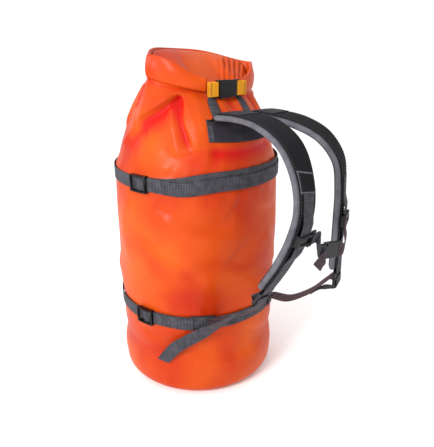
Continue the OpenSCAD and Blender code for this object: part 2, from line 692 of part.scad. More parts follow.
// Sternum strap: the closure buckle's shape at the sternum webbing's size
sternum_t = webbing_t * sternum_scale;
sternum_x = [cos(sternum_turn[1]) * cos(sternum_turn[2]),
    cos(sternum_turn[1]) * sin(sternum_turn[2]), -sin(sternum_turn[1])];
sternum_y = [-sin(sternum_turn[2]), cos(sternum_turn[2]), 0];
sternum_z = cross(sternum_x, sternum_y);
function sternum_point(x, y) = sternum_mid + sternum_scale * (x * sternum_x + y * sternum_y);

module at_sternum() {
    translate(sternum_mid) rotate(sternum_turn) scale(sternum_scale) children();
}

module sternum_webbing(route, slider_s, side) {
    // side is 1 on the left strap, whose ring points to +X
    r = sternum_scale * (loop_in + webbing_t / 2);
    bar = sternum_point(-side * bar_x, 0);
    up = -heading(route, slider_s);
    ring = ring_bar(route, slider_s, side)
        + (bar_r + web_play + sternum_t / 2) * out_dir(route, slider_s);
    reach = side * cross_dir(route, slider_s);
    away = -side * sternum_x;
    from = bar - r * sternum_y + 12 * away;
    to = ring + 12 * reach;
    between = mix(from, to, 0.5) + norm(to - from) / 8 * (away + reach);
    path = [with_width(bar - r * sternum_y, sternum_z), with_width(from, sternum_z),
        with_width(between, mix(sternum_z, up, 0.5)), with_width(to, up),
        with_width(ring - 4 * reach, up)];
    color(side > 0 ? webbing_grey : under_brown) strip(concat(
        [[bar + r * sternum_y + 7 * away, -away, sternum_z]],
        turn_frames(bar, r, sternum_y, -away, sternum_z),
        [for (s = stations(0.25, 4)) [place_of(along(path, s)), heading(path, s),
            unit(width_of(along(path, s)))]]), sternum_w, sternum_t);
}

module sternum_webbing_left() {
    sternum_webbing(pad_route_left, slider_s_left, 1);
}

module sternum_webbing_right() {
    sternum_webbing(pad_route_right, slider_s_right, -1);
}

module sternum_buckle_socket() {
    color(buckle_black) at_sternum() buckle_socket();
}

module sternum_buckle_plug() {
    color(buckle_black) at_sternum() buckle_plug();
}

module sternum_prong_upper() {
    color(buckle_black) at_sternum() buckle_prong(1);
}

module sternum_prong_lower() {
    color(buckle_black) at_sternum() buckle_prong(-1);
}

module sternum_tail() {
    start = sternum_point(-bar_x - 1.4, -loop_out - 2.6);
    path = concat([with_width(start, sternum_z)], with_harness([[-34, -388.9, 390, 0.1, 0, 1],
        [-44, -390, 385, 0.2, 0, 1], [-51, -390, 378, 0.5, 0, 1]]));
    color(under_brown) ribbon(path, 0, 3, sternum_w, sternum_t);
}

bag_tube();
base_panel();
side_seam_tape();
rolled_mouth();
mouth_stiffener();
closure_tab_left();
closure_tab_right();
closure_buckle_socket();
closure_buckle_plug();
closure_prong_upper();
closure_prong_lower();
haul_loop();
harness_patch();
harness_patch_border();
upper_band();
upper_band_tail();
upper_band_slider();
lower_band();
lower_band_tail();
lower_band_slider();
band_keeper_left();
band_keeper_right();
strap_tongue(pad_route_left);  // strap_tongue_left
strap_tongue(pad_route_right);  // strap_tongue_right
shoulder_pad(pad_route_left);  // shoulder_pad_left
shoulder_pad(pad_route_right);  // shoulder_pad_right
pad_face(pad_route_left);  // pad_face_left
pad_face(pad_route_right);  // pad_face_right
pad_top_patch(pad_route_left);  // pad_top_patch_left
pad_top_patch(pad_route_right);  // pad_top_patch_right
pad_webbing(pad_route_left, slider_s_left);  // pad_webbing_left
pad_webbing(pad_route_right, slider_s_right);  // pad_webbing_right
strap_slider(pad_route_left, slider_s_left, 1);  // sternum_slider_left
strap_slider(pad_route_right, slider_s_right, -1);  // sternum_slider_right
ladder_lock(pad_route_left);  // ladder_lock_left
ladder_lock(pad_route_right);  // ladder_lock_right
pad_label();
sternum_webbing_left();
sternum_webbing_right();
sternum_buckle_socket();
sternum_buckle_plug();
sternum_prong_upper();
sternum_prong_lower();
sternum_tail();
lower_webbing_left();
lower_webbing_right();
lower_tail_left();
lower_tail_right();
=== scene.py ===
"""A roll-top dry bag with a pack harness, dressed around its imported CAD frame."""

import json
import logging
from dataclasses import dataclass, field
from enum import Enum

import bmesh
import bpy
import numpy as np
from mathutils import Matrix, Vector

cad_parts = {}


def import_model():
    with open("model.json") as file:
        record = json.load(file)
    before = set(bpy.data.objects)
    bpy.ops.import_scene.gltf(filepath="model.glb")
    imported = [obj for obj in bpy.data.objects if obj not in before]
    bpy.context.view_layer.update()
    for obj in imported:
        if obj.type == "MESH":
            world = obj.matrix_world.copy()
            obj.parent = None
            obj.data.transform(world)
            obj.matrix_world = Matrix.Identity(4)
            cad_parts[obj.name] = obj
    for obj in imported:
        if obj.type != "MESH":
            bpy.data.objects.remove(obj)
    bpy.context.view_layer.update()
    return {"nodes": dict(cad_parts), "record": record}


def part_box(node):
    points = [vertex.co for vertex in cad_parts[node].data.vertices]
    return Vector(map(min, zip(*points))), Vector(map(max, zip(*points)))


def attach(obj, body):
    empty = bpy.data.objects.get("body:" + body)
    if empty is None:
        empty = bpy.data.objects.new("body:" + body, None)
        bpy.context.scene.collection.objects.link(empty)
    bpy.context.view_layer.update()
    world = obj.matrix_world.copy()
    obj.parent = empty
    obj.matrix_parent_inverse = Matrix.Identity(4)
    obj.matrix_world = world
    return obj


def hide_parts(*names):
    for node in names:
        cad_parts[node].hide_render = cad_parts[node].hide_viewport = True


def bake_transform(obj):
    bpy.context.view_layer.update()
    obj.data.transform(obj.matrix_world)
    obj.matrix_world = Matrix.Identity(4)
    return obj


MM = 0.001
LOG = logging.getLogger("dry_bag")
Array = np.ndarray
Tree = bpy.types.NodeTree
Socket = bpy.types.NodeSocket
Material = bpy.types.Material
Piece = bpy.types.Object

# Sizes that several pieces share with the CAD part, in millimetres
UPPER_BAND_Z = 439.0
LOWER_BAND_Z = 172.0
WEB_WIDTH = 25.0
WEB_THICK = 1.4
BUCKLE_BAR = 21.8
BAR_LOOP = 2.6
PAD_TOP_WIDTH = 54.0
PAD_END_WIDTH = 42.0
PAD_THICK = 11.0
FACE_THICK = 1.2
SEAT = 0.3
FACE_MIDDLE = PAD_THICK / 2 + SEAT + FACE_THICK / 2
WEB_SEAT = PAD_THICK / 2 + 2 * SEAT + FACE_THICK + WEB_THICK / 2
LOCK_SEAT = WEB_SEAT - 1.6 - 0.3 - WEB_THICK / 2
LOCK_GAP = 9.0


# ---------------------------------------------------------------- small maths


def smooth(t: Array) -> Array:
    """Eases from 0 to 1: three t squared less two t cubed, t held in 0 to 1."""
    t = np.clip(t, 0, 1)
    return t * t * (3 - 2 * t)


def unit(v: Array) -> Array:
    """Vectors divided by their own lengths."""
    return v / np.maximum(np.linalg.norm(v, axis=-1, keepdims=True), 1e-9)


def bell(t: Array) -> Array:
    """Gaussian bell: e to the minus t squared."""
    return np.exp(-t * t)


def crest(t: Array) -> Array:
    """A fold's section: a nearly sharp crest with almost flat flanks, nothing past 1.9."""
    tent = np.clip(1 - (np.sqrt(t * t + 0.02) - 0.1414) / 1.9, 0, 1)
    return tent * (0.45 + 0.55 * tent)


def run_length(points: Array) -> Array:
    """Distance run along a line of points.

    Args:
        points: (n, 3) points.

    Returns:
        (n,) sums of the steps before each point.
    """
    steps = np.linalg.norm(np.diff(points, axis=0), axis=1)
    return np.concatenate([[0], np.cumsum(steps)])


# ---------------------------------------------------------------- mesh making


def make_object(name: str, points: Array, faces: list[Array], uvs: list[Array]) -> Piece:
    """Puts arrays of points and faces into a mesh object at the origin.

    Args:
        name: object name.
        points: (n, 3) points in millimetres.
        faces: arrays of vertex numbers, each (m, 3) or (m, 4).
        uvs: for each array of faces, (m, 3 or 4, 2) pattern coordinates in millimetres.

    Returns:
        The linked object, smooth shaded, with outward normals.
    """
    mesh = bpy.data.meshes.new(name)
    mesh.vertices.add(len(points))
    mesh.vertices.foreach_set("co", (points * MM).astype(np.float32).ravel())
    loops = np.concatenate([f.ravel() for f in faces])
    totals = np.concatenate([np.full(len(f), f.shape[1]) for f in faces])
    mesh.loops.add(len(loops))
    mesh.loops.foreach_set("vertex_index", loops.astype(np.int32))
    mesh.polygons.add(len(totals))
    mesh.polygons.foreach_set("loop_start", (np.cumsum(totals) - totals).astype(np.int32))
    mesh.update(calc_edges=True)
    layer = mesh.uv_layers.new(name="cloth")
    flat = np.concatenate([u.reshape(-1, 2) for u in uvs]).astype(np.float32)
    layer.data.foreach_set("uv", flat.ravel())
    mesh.polygons.foreach_set("use_smooth", np.ones(len(totals), bool))
    work = bmesh.new()
    work.from_mesh(mesh)
    bmesh.ops.recalc_face_normals(work, faces=work.faces)
    work.to_mesh(mesh)
    work.free()
    made = bpy.data.objects.new(name, mesh)
    bpy.context.scene.collection.objects.link(made)
    return made


def grid_object(
    name: str, grid: Array, uv: Array, around: bool = True, ring: bool = False
) -> Piece:
    """Skins a grid of points: rows run along a path, columns go round its section.

    Args:
        name: object name.
        grid: (rows, columns, 3) points in millimetres.
        uv: (rows, columns + 1, 2) pattern coordinates, or (rows + 1, ...) for a ring.
        around: True where the last column meets the first.
        ring: True where the last row meets the first; else both ends are closed by fans.

    Returns:
        The closed mesh object.
    """
    rows, cols = grid.shape[:2]
    number = np.arange(rows * cols).reshape(rows, cols)
    if around:
        number = np.concatenate([number, number[:, :1]], 1)
    if ring:
        number = np.concatenate([number, number[:1]], 0)
    uv = uv[: number.shape[0], : number.shape[1]]
    corner = (slice(None, -1), slice(1, None))
    pick = [(corner[0], corner[0]), (corner[0], corner[1]), (corner[1], corner[1]), (corner[1], corner[0])]
    faces = [np.stack([number[a, b] for a, b in pick], -1).reshape(-1, 4)]
    maps = [np.stack([uv[a, b] for a, b in pick], -2).reshape(-1, 4, 2)]
    points = grid.reshape(-1, 3)
    if around and not ring:
        for row in (0, rows - 1):
            middle = len(points)
            points = np.concatenate([points, grid[row].mean(0, keepdims=True)])
            line, turn = number[row], uv[row]
            fan = np.stack([line[:-1], line[1:], np.full(cols, middle)], -1)
            faces.append(fan)
            hub = np.repeat(turn.mean(0, keepdims=True), cols, 0)
            maps.append(np.stack([turn[:-1], turn[1:], hub], -2))
    return make_object(name, points, faces, maps)


def strip_section(across: int = 6) -> tuple[Array, Array, Array]:
    """Section of a flat strip with round edges, going once round.

    Args:
        across: points over the width.

    Returns:
        Share of the half width, then the edge's round part across and through.
    """
    flat = np.linspace(-1, 1, across)
    turn = np.radians([60, 20, -20, -60])
    side = np.concatenate([flat, np.ones(4), flat[::-1], -np.ones(4)])
    rim = np.concatenate([np.zeros(across), np.cos(turn), np.zeros(across), -np.cos(turn)])
    through = np.concatenate([np.ones(across), np.sin(turn), -np.ones(across), -np.sin(turn)])
    return side, rim, through


@dataclass
class Frames:
    """Places along a path with the directions of its run, its width and its face."""

    place: Array
    run: Array
    cross: Array
    out: Array

    @classmethod
    def through(cls, place: Array, width: Array) -> "Frames":
        """Frames whose run follows the points and whose width leans to the given one.

        Args:
            place: points along the path.
            width: direction that the width leans to, one per point.

        Returns:
            The frames.
        """
        run = unit(np.gradient(place, axis=0))
        cross = unit(width - (width * run).sum(-1, keepdims=True) * run)
        return cls(place, run, cross, np.cross(run, cross))

    @classmethod
    def joined(cls, parts: list["Frames"]) -> "Frames":
        """Several stretches, one after another."""
        names = ("place", "run", "cross", "out")
        return cls(*[np.concatenate([getattr(p, n) for p in parts]) for n in names])

    def lifted(self, out: Array | float, cross: Array | float = 0.0) -> "Frames":
        """The same frames moved outwards and across by so many millimetres."""
        shift = np.reshape(out, (-1, 1)) * self.out + np.reshape(cross, (-1, 1)) * self.cross
        return Frames(self.place + shift, self.run, self.cross, self.out)


def strip(
    name: str,
    frames: Frames,
    width: Array | float,
    thick: Array | float,
    crown: float = 0.0,
    across: int = 6,
    ring: bool = False,
) -> Piece:
    """Carries a round-edged strip section along frames.

    Args:
        name: object name.
        frames: path and directions.
        width: full width in millimetres, one or per row.
        thick: full thickness in millimetres, one or per row.
        crown: how far the middle of the strip bows outwards.
        across: points over the width.
        ring: True for an endless strip.

    Returns:
        The closed strip.
    """
    side, rim, through = strip_section(across)
    rows = len(frames.place)
    half = np.broadcast_to(np.asarray(width, float) / 2, (rows,))[:, None]
    deep = np.broadcast_to(np.asarray(thick, float) / 2, (rows,))[:, None]
    over = side * (half - deep) + rim * deep
    up = through * deep + crown * (1 - side**2)
    grid = (
        frames.place[:, None]
        + over[..., None] * frames.cross[:, None]
        + up[..., None] * frames.out[:, None]
    )
    length = run_length(frames.place)
    if ring:
        length = np.append(length, length[-1] + np.linalg.norm(frames.place[0] - frames.place[-1]))
        over = np.concatenate([over, over[:1]])
    uv = np.stack([np.repeat(length[:, None], over.shape[1] + 1, 1),
                   np.concatenate([over, over[:, :1]], 1)], -1)
    return grid_object(name, grid, uv, ring=ring)


def half_turn(bar: Array, radius: float, start: Array, over: Array, width: Array) -> Frames:
    """Frames of a half turn round a bar: centre plus radius times (cos a start + sin a over).

    Args:
        bar: the bar's centre.
        radius: the turn's radius.
        start: direction from the bar to the start.
        over: direction that the turn goes over.
        width: direction of the strip's width.

    Returns:
        Frames along the turn.
    """
    a = np.linspace(0, np.pi, 11)[:, None]
    place = bar + radius * (np.cos(a) * start + np.sin(a) * over)
    run = np.cos(a) * over - np.sin(a) * start
    cross = np.repeat(width[None], len(a), 0)
    return Frames(place, run, cross, np.cross(run, cross))


def curve_through(rows: Array, count: int) -> Array:
    """Smooth line through rows of numbers.

    Each stretch is the uniform cubic that passes its two rows with slopes of half the
    step between their neighbours.

    Args:
        rows: the rows to pass.
        count: how many rows come back.

    Returns:
        (count, columns) evenly spaced rows.
    """
    return Route(rows).along(np.linspace(0, len(rows) - 1, count))


class Route:
    """A line through rows of x, y, z and width direction, as the CAD part draws it."""

    def __init__(self, rows: list[list[float]]) -> None:
        """Keeps the rows as an array, in millimetres."""
        self.rows = np.array(rows, float)
        self.last = len(rows) - 1

    def along(self, s: Array) -> Array:
        """Rows at stations s, each stretch a cubic through its rows.

        Args:
            s: stations, 0 at the first row and 1 more at each next.

        Returns:
            One row per station.
        """
        i = np.clip(np.floor(s).astype(int), 0, self.last - 1)
        t = (s - i)[:, None]
        r = self.rows
        a, b = r[np.maximum(i - 1, 0)], r[i]
        c, d = r[i + 1], r[np.minimum(i + 2, self.last)]
        return 0.5 * (
            2 * b + (c - a) * t + (2 * a - 5 * b + 4 * c - d) * t**2 + (3 * b - 3 * c + d - a) * t**3
        )

    def frames(self, s: Array) -> Frames:
        """Frames at stations s: run, width square to it, and face as their cross product.

        Args:
            s: stations, 0 at the first row and 1 more at each next.

        Returns:
            One frame per station.
        """
        s = np.asarray(s, float)
        here = self.along(s)
        e = 0.02
        ahead, behind = np.minimum(s + e, self.last), np.maximum(s - e, 0)
        run = unit(self.along(ahead)[:, :3] - self.along(behind)[:, :3])
        width = here[:, 3:]
        cross = unit(width - (width * run).sum(-1, keepdims=True) * run)
        return Frames(here[:, :3], run, cross, np.cross(run, cross))


def stitches(name: str, frames: Frames, long: float = 3.4, gap: float = 2.0) -> Piece:
    """Thread dashes along a line: small six-sided boxes, pulled down at both ends.

    Args:
        name: object name.
        frames: the line, on the cloth's surface.
        long: length of a stitch.
        gap: space between stitches.

    Returns:
        One mesh with every stitch.
    """
    length = run_length(frames.place)
    count = max(int(length[-1] // (long + gap)), 1)
    at = (np.arange(count) + 0.5) * length[-1] / count
    take = [np.stack([np.interp(at, length, a[:, k]) for k in range(3)], -1)
            for a in (frames.place, frames.run, frames.cross, frames.out)]
    place, run, cross, out = take[0], unit(take[1]), unit(take[2]), unit(take[3])
    along = np.array([-0.5, -0.25, 0.25, 0.5]) * long
    rise = np.array([-0.15, 0.3, 0.3, -0.15])
    ring = np.array([[-0.45, -0.2], [-0.25, 0.3], [0.25, 0.3], [0.45, -0.2]])
    grid = (
        place[:, None, None]
        + along[None, :, None, None] * run[:, None, None]
        + ring[None, None, :, :1] * cross[:, None, None]
        + (ring[None, None, :, 1:] + rise[None, :, None, None]) * out[:, None, None]
    )
    base = (np.arange(count) * 16)[:, None]
    cell = np.arange(16).reshape(4, 4)
    loop = np.concatenate([cell, cell[:, :1]], 1)
    sides = np.stack([loop[:-1, :-1], loop[:-1, 1:], loop[1:, 1:], loop[1:, :-1]], -1).reshape(-1, 4)
    caps = np.array([[3, 2, 1, 0], [12, 13, 14, 15]])
    faces = (base[:, None] + np.concatenate([sides, caps])[None]).reshape(-1, 4)
    return make_object(name, grid.reshape(-1, 3), [faces], [np.zeros((len(faces), 4, 2))])


# ---------------------------------------------------------------- materials

# Sockets of a colour mix: its factor and two colours go in, and the mixed colour comes out
FACTOR, LOW, HIGH, MIXED = 0, 6, 7, 2


def linear(code: str) -> tuple[float, float, float, float]:
    """An sRGB hex colour as linear red, green, blue and full alpha.

    Args:
        code: the colour, as # and six digits.

    Returns:
        Red, green, blue and alpha.
    """
    c = np.array([int(code[i : i + 2], 16) for i in (1, 3, 5)]) / 255
    c = np.where(c <= 0.04045, c / 12.92, ((c + 0.055) / 1.055) ** 2.4)
    return (*c.tolist(), 1.0)


def add(tree: Tree, kind: str, inputs: dict | None = None, **settings: object) -> bpy.types.Node:
    """Adds one node.

    Args:
        tree: where it goes.
        kind: the node's type name.
        inputs: socket name or number to a value, an output or a node, for its first output.
        settings: the node's own properties.

    Returns:
        The node.
    """
    node = tree.nodes.new(kind)
    for key, value in settings.items():
        setattr(node, key, value)
    for key, value in (inputs or {}).items():
        if isinstance(value, bpy.types.Node):
            value = value.outputs[0]
        if isinstance(value, Socket):
            tree.links.new(value, node.inputs[key])
        else:
            node.inputs[key].default_value = value
    return node


def blank(name: str, roughness: float, **fixed: float) -> tuple[Material, Tree, bpy.types.Node]:
    """A material with one shader whose plain numbers are set on its own sockets.

    Args:
        name: the material's name.
        roughness: the shader's roughness.
        fixed: the shader's other numbers, with _ for a space.

    Returns:
        The material, its nodes and its shader.
    """
    material = bpy.data.materials.new(name)
    material.use_nodes = True
    tree = material.node_tree
    shader = tree.nodes["Principled BSDF"]
    shader.inputs["Roughness"].default_value = roughness
    for key, value in fixed.items():
        shader.inputs[key.replace("_", " ")].default_value = value
    return material, tree, shader


def wave(tree: Tree, value: Socket, pitch: float) -> Socket:
    """Half plus half the sine of 2 pi value over pitch.

    Args:
        tree: the material's nodes.
        value: what the sine reads.
        pitch: length of one wave, in the value's unit.

    Returns:
        The wave, from 0 to 1.
    """
    turn = add(tree, "ShaderNodeMath", {0: value, 1: 2 * np.pi / pitch}, operation="MULTIPLY")
    sine = add(tree, "ShaderNodeMath", {0: turn}, operation="SINE")
    return add(tree, "ShaderNodeMath", {0: sine, 1: 0.5, 2: 0.5}, operation="MULTIPLY_ADD").outputs[0]


@dataclass(frozen=True)
class Tarpaulin:
    """PVC-coated polyester tarpaulin, calendered: a soft satin skin over a faint scrim."""

    name: str = "pvc_coated_tarpaulin"
    colour: str = "#AA2605"
    pale: str = "#CC560E"
    # deep: painted shade colour, mixed in where the fold attribute marks fold valleys and the neck just under
    # the roll
    deep: str = "#B80D10"
    roughness: float = 0.44
    scrim_mm: float = 3.0

    def build(self) -> Material:
        """Colour drifts slowly; a deep red is painted in as shade in fold valleys and just under the roll,
        read from the fold attribute; bump is scrim and slack ripples.

        Returns:
            The material.
        """
        shine = {"Specular_IOR_Level": 0.12, "Coat_Weight": 0.05, "Coat_Roughness": 0.25}
        material, tree, shader = blank(self.name, self.roughness, **shine)
        here = add(tree, "ShaderNodeTexCoord")
        where = here.outputs["Object"]
        drift = add(tree, "ShaderNodeTexNoise",
                    {"Vector": where, "Scale": 6.0, "Detail": 2.5, "Distortion": 0.6})
        # The fold attribute is a painted-shade mask: fold valleys and a band just under the roll
        fold = add(tree, "ShaderNodeAttribute", attribute_name="fold").outputs["Fac"]
        patchy = add(tree, "ShaderNodeMath", {0: drift, 1: 2.2, 2: -0.72},
                     operation="MULTIPLY_ADD", use_clamp=True)
        base = add(tree, "ShaderNodeMix", {FACTOR: patchy, LOW: linear(self.colour), HIGH: linear(self.pale)},
                   data_type="RGBA").outputs[MIXED]
        # Painted shade: the base turns deep red by the fold attribute's mask
        painted_fold_shade = add(tree, "ShaderNodeMix", {FACTOR: fold, LOW: base, HIGH: linear(self.deep)},
                     data_type="RGBA").outputs[MIXED]
        tree.links.new(painted_fold_shade, shader.inputs["Base Color"])
        # The scrim's real pitch is about 1 mm; it is drawn coarser so that it shows.
        split = add(tree, "ShaderNodeSeparateXYZ", {0: here.outputs["UV"]})
        weft = wave(tree, split.outputs[0], self.scrim_mm)
        warp = wave(tree, split.outputs[1], self.scrim_mm)
        weave = add(tree, "ShaderNodeMath", {0: weft, 1: warp}, operation="MULTIPLY")
        slack = add(tree, "ShaderNodeTexNoise", {"Vector": where, "Scale": 38.0, "Detail": 3.0})
        fine = add(tree, "ShaderNodeBump", {"Strength": 0.06, "Distance": 0.0002, "Height": weave})
        soft = add(tree, "ShaderNodeBump",
                   {"Strength": 0.35, "Distance": 0.0014, "Height": slack, "Normal": fine})
        tree.links.new(soft.outputs[0], shader.inputs["Normal"])
        return material


@dataclass(frozen=True)
class Webbing:
    """Woven webbing: ribs across the strap, threads that catch the light, matt fibres."""

    name: str
    dark: str
    light: str
    rib_mm: float = 2.8
    roughness: float = 0.8

    def build(self) -> Material:
        """Ribs follow the strap's own length; their thread steps sideways as in a weave.

        Returns:
            The material.
        """
        material, tree, shader = blank(self.name, self.roughness, Specular_IOR_Level=0.2, Sheen_Weight=0.02)
        here = add(tree, "ShaderNodeTexCoord")
        split = add(tree, "ShaderNodeSeparateXYZ", {0: here.outputs["UV"]})
        step = wave(tree, split.outputs[1], 2 * self.rib_mm)
        shifted = add(tree, "ShaderNodeMath", {0: step, 1: 0.12 * self.rib_mm, 2: split.outputs[0]},
                      operation="MULTIPLY_ADD")
        rib = wave(tree, shifted.outputs[0], self.rib_mm)
        warp = wave(tree, split.outputs[1], self.rib_mm)
        thread = add(tree, "ShaderNodeMath", {0: rib, 1: 0.75}, operation="MULTIPLY")
        both = add(tree, "ShaderNodeMath", {0: warp, 1: 0.25, 2: thread}, operation="MULTIPLY_ADD")
        worn = add(tree, "ShaderNodeTexNoise",
                   {"Vector": here.outputs["Object"], "Scale": 90.0, "Detail": 4.0})
        shade = add(tree, "ShaderNodeMath", {0: worn, 1: both}, operation="MULTIPLY")
        strong = add(tree, "ShaderNodeMath", {0: shade, 1: 1.8}, operation="MULTIPLY", use_clamp=True)
        colour = add(tree, "ShaderNodeMix", {FACTOR: strong, LOW: linear(self.dark), HIGH: linear(self.light)},
                     data_type="RGBA").outputs[MIXED]
        tree.links.new(colour, shader.inputs["Base Color"])
        raised = add(tree, "ShaderNodeBump", {"Strength": 0.7, "Distance": 0.0005, "Height": both})
        tree.links.new(raised.outputs[0], shader.inputs["Normal"])
        return material


@dataclass(frozen=True)
class SpacerMesh:
    """Warp-knitted spacer mesh: rows of small dark holes between soft ridges."""

    name: str = "knitted_spacer_mesh"
    dark: str = "#040405"
    light: str = "#17151A"
    hole_mm: float = 3.2

    def build(self) -> Material:
        """Distance to cell edges gives both the holes' depth and their colour.

        Returns:
            The material.
        """
        material, tree, shader = blank(self.name, 0.85, Specular_IOR_Level=0.15)
        here = add(tree, "ShaderNodeTexCoord")
        cells = add(tree, "ShaderNodeTexVoronoi",
                    {"Vector": here.outputs["UV"], "Scale": 1 / self.hole_mm, "Randomness": 0.25},
                    feature="DISTANCE_TO_EDGE")
        rim = add(tree, "ShaderNodeMath", {0: cells.outputs["Distance"], 1: 3.0},
                  operation="MULTIPLY", use_clamp=True)
        colour = add(tree, "ShaderNodeMix", {FACTOR: rim, LOW: linear(self.light), HIGH: linear(self.dark)},
                     data_type="RGBA").outputs[MIXED]
        tree.links.new(colour, shader.inputs["Base Color"])
        sunk = add(tree, "ShaderNodeBump", {"Strength": 0.6, "Distance": 0.0006, "Height": rim},
                   invert=True)
        tree.links.new(sunk.outputs[0], shader.inputs["Normal"])
        return material


@dataclass(frozen=True)
class PlainWeave:
    """Plain-woven nylon or binding tape: a fine checked weave that looks matt."""

    name: str
    dark: str
    light: str
    thread_mm: float = 2.0
    roughness: float = 0.78

    def build(self) -> Material:
        """Two sines across each other make the over-and-under of the threads.

        Returns:
            The material.
        """
        material, tree, shader = blank(self.name, self.roughness, Specular_IOR_Level=0.2)
        here = add(tree, "ShaderNodeTexCoord")
        split = add(tree, "ShaderNodeSeparateXYZ", {0: here.outputs["UV"]})
        weft = wave(tree, split.outputs[0], self.thread_mm)
        warp = wave(tree, split.outputs[1], self.thread_mm)
        check = add(tree, "ShaderNodeMath", {0: weft, 1: warp}, operation="MULTIPLY")
        worn = add(tree, "ShaderNodeTexNoise",
                   {"Vector": here.outputs["Object"], "Scale": 60.0, "Detail": 3.0})
        shade = add(tree, "ShaderNodeMath", {0: check, 1: 0.5, 2: worn},
                    operation="MULTIPLY_ADD", use_clamp=True)
        colour = add(tree, "ShaderNodeMix", {FACTOR: shade, LOW: linear(self.dark), HIGH: linear(self.light)},
                     data_type="RGBA").outputs[MIXED]
        tree.links.new(colour, shader.inputs["Base Color"])
        raised = add(tree, "ShaderNodeBump", {"Strength": 0.5, "Distance": 0.0003, "Height": check})
        tree.links.new(raised.outputs[0], shader.inputs["Normal"])
        return material


@dataclass(frozen=True)
class Acetal:
    """Moulded acetal: near-black, spark-textured, with a low even gloss."""

    name: str = "moulded_acetal"
    colour: str = "#050507"
    worn: str = "#0E0E12"
    roughness: float = 0.36

    def build(self) -> Material:
        """Fine noise stands for the tool's spark texture, drawn at 0.8 mm.

        Returns:
            The material.
        """
        material, tree, shader = blank(self.name, self.roughness, Specular_IOR_Level=0.28)
        here = add(tree, "ShaderNodeTexCoord")
        where = here.outputs["Object"]
        grain = add(tree, "ShaderNodeTexNoise", {"Vector": where, "Scale": 1250.0, "Detail": 1.0})
        rub = add(tree, "ShaderNodeTexNoise", {"Vector": where, "Scale": 120.0, "Detail": 2.0})
        colour = add(tree, "ShaderNodeMix", {FACTOR: rub, LOW: linear(self.colour), HIGH: linear(self.worn)},
                     data_type="RGBA").outputs[MIXED]
        tree.links.new(colour, shader.inputs["Base Color"])
        spark = add(tree, "ShaderNodeBump", {"Strength": 0.15, "Distance": 0.0001, "Height": grain})
        tree.links.new(spark.outputs[0], shader.inputs["Normal"])
        return material


class Cloth(Enum):
    """Every finish on the bag."""

    TARPAULIN = Tarpaulin()
    WEBBING = Webbing("woven_grey_webbing", "#121115", "#56545C")
    UNDER = Webbing("woven_brown_grey_webbing", "#1E1618", "#5A474F")
    TAB = Webbing("woven_yellow_webbing", "#B46A0A", "#E8A520")
    PATCH = PlainWeave("plain_woven_nylon", "#100F12", "#322F37")
    EDGE = PlainWeave("woven_binding_tape", "#2E2C33", "#67656C")
    MESH = SpacerMesh()
    BUCKLE = Acetal()
    STIFFENER = Acetal("extruded_polyethylene_strip", "#0E0E11", "#1C1C20", 0.5)
    THREAD = PlainWeave("bonded_polyester_thread", "#1A181E", "#46444C", 0.6)


@dataclass
class Workshop:
    """Builds each finish once and dresses pieces with it."""

    made: dict = field(default_factory=dict)

    def finish(self, cloth: Cloth) -> Material:
        """The material of a finish, built on first use.

        Args:
            cloth: the finish.

        Returns:
            Its material.
        """
        if cloth not in self.made:
            self.made[cloth] = cloth.value.build()
        return self.made[cloth]

    def dress(self, piece: Piece, cloth: Cloth, body: str = "bag", nodes: tuple[str, ...] = (),
              bend: tuple | None = None) -> Piece:
        """Gives a piece its finish, its body and the CAD nodes it stands for.

        Args:
            piece: the finished object.
            cloth: its finish.
            body: the body it rides on.
            nodes: CAD nodes it replaces.
            bend: (body, start, end); only whether it is given is read: if it is, the piece's transform is
                baked and it is attached to no body.

        Returns:
            The piece.
        """
        piece.data.materials.clear()
        piece.data.materials.append(self.finish(cloth))
        if nodes:
            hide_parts(*nodes)
        if bend:
            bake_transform(piece)
        else:
            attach(piece, body)
        LOG.info("%s: %d faces", piece.name, len(piece.data.polygons))
        return piece


# ---------------------------------------------------------------- the bag itself


@dataclass
class NeckForm:
    """The tube and the neck it gathers into, in millimetres, as the CAD part has them."""

    radius: float = 160.0
    shoulder: float = 452.0
    rise: float = 150.0
    half_x: float = 111.0
    half_y: float = 66.0
    lean: float = 25.0
    fall_x: float = -0.094
    fall_y: float = 0.222

    def floor(self, x: Array, y: Array) -> Array:
        """Height of the roll's underside, a plane that falls to the front and the right."""
        return self.shoulder + self.rise + self.fall_x * x + self.fall_y * (y + self.lean)

    def halves(self, share: Array) -> tuple[Array, Array, Array]:
        """Half width, half depth and lean at a share of the rise, each a power of it.

        Args:
            share: share of the neck's rise.

        Returns:
            Half width, half depth and lean, in millimetres.
        """
        return (
            self.radius + (self.half_x - self.radius) * share**0.7,
            self.radius + (self.half_y - self.radius) * share**2.2,
            self.lean * share**1.5,
        )

    def point(self, angle: Array, share: Array, off: Array | float = 0.0) -> Array:
        """Point of the neck at an angle from the front in degrees, moved outwards by off.

        Args:
            angle: angles from the front, in degrees.
            share: share of the neck's rise.
            off: distance outwards, in millimetres.

        Returns:
            The points.
        """
        a = np.radians(angle)
        hx, hy, lean = self.halves(share)
        power = 1 + 0.35 * share**3
        deep = np.sign(np.cos(a)) * np.abs(np.cos(a)) ** power
        top = self.floor(self.half_x * np.sin(a), -self.lean - self.half_y * np.cos(a))
        x = (hx + off) * np.sin(a)
        y = -lean - (hy + off) * deep
        return np.stack(np.broadcast_arrays(x, y, self.shoulder + (top - self.shoulder) * share), -1)


NECK = NeckForm()


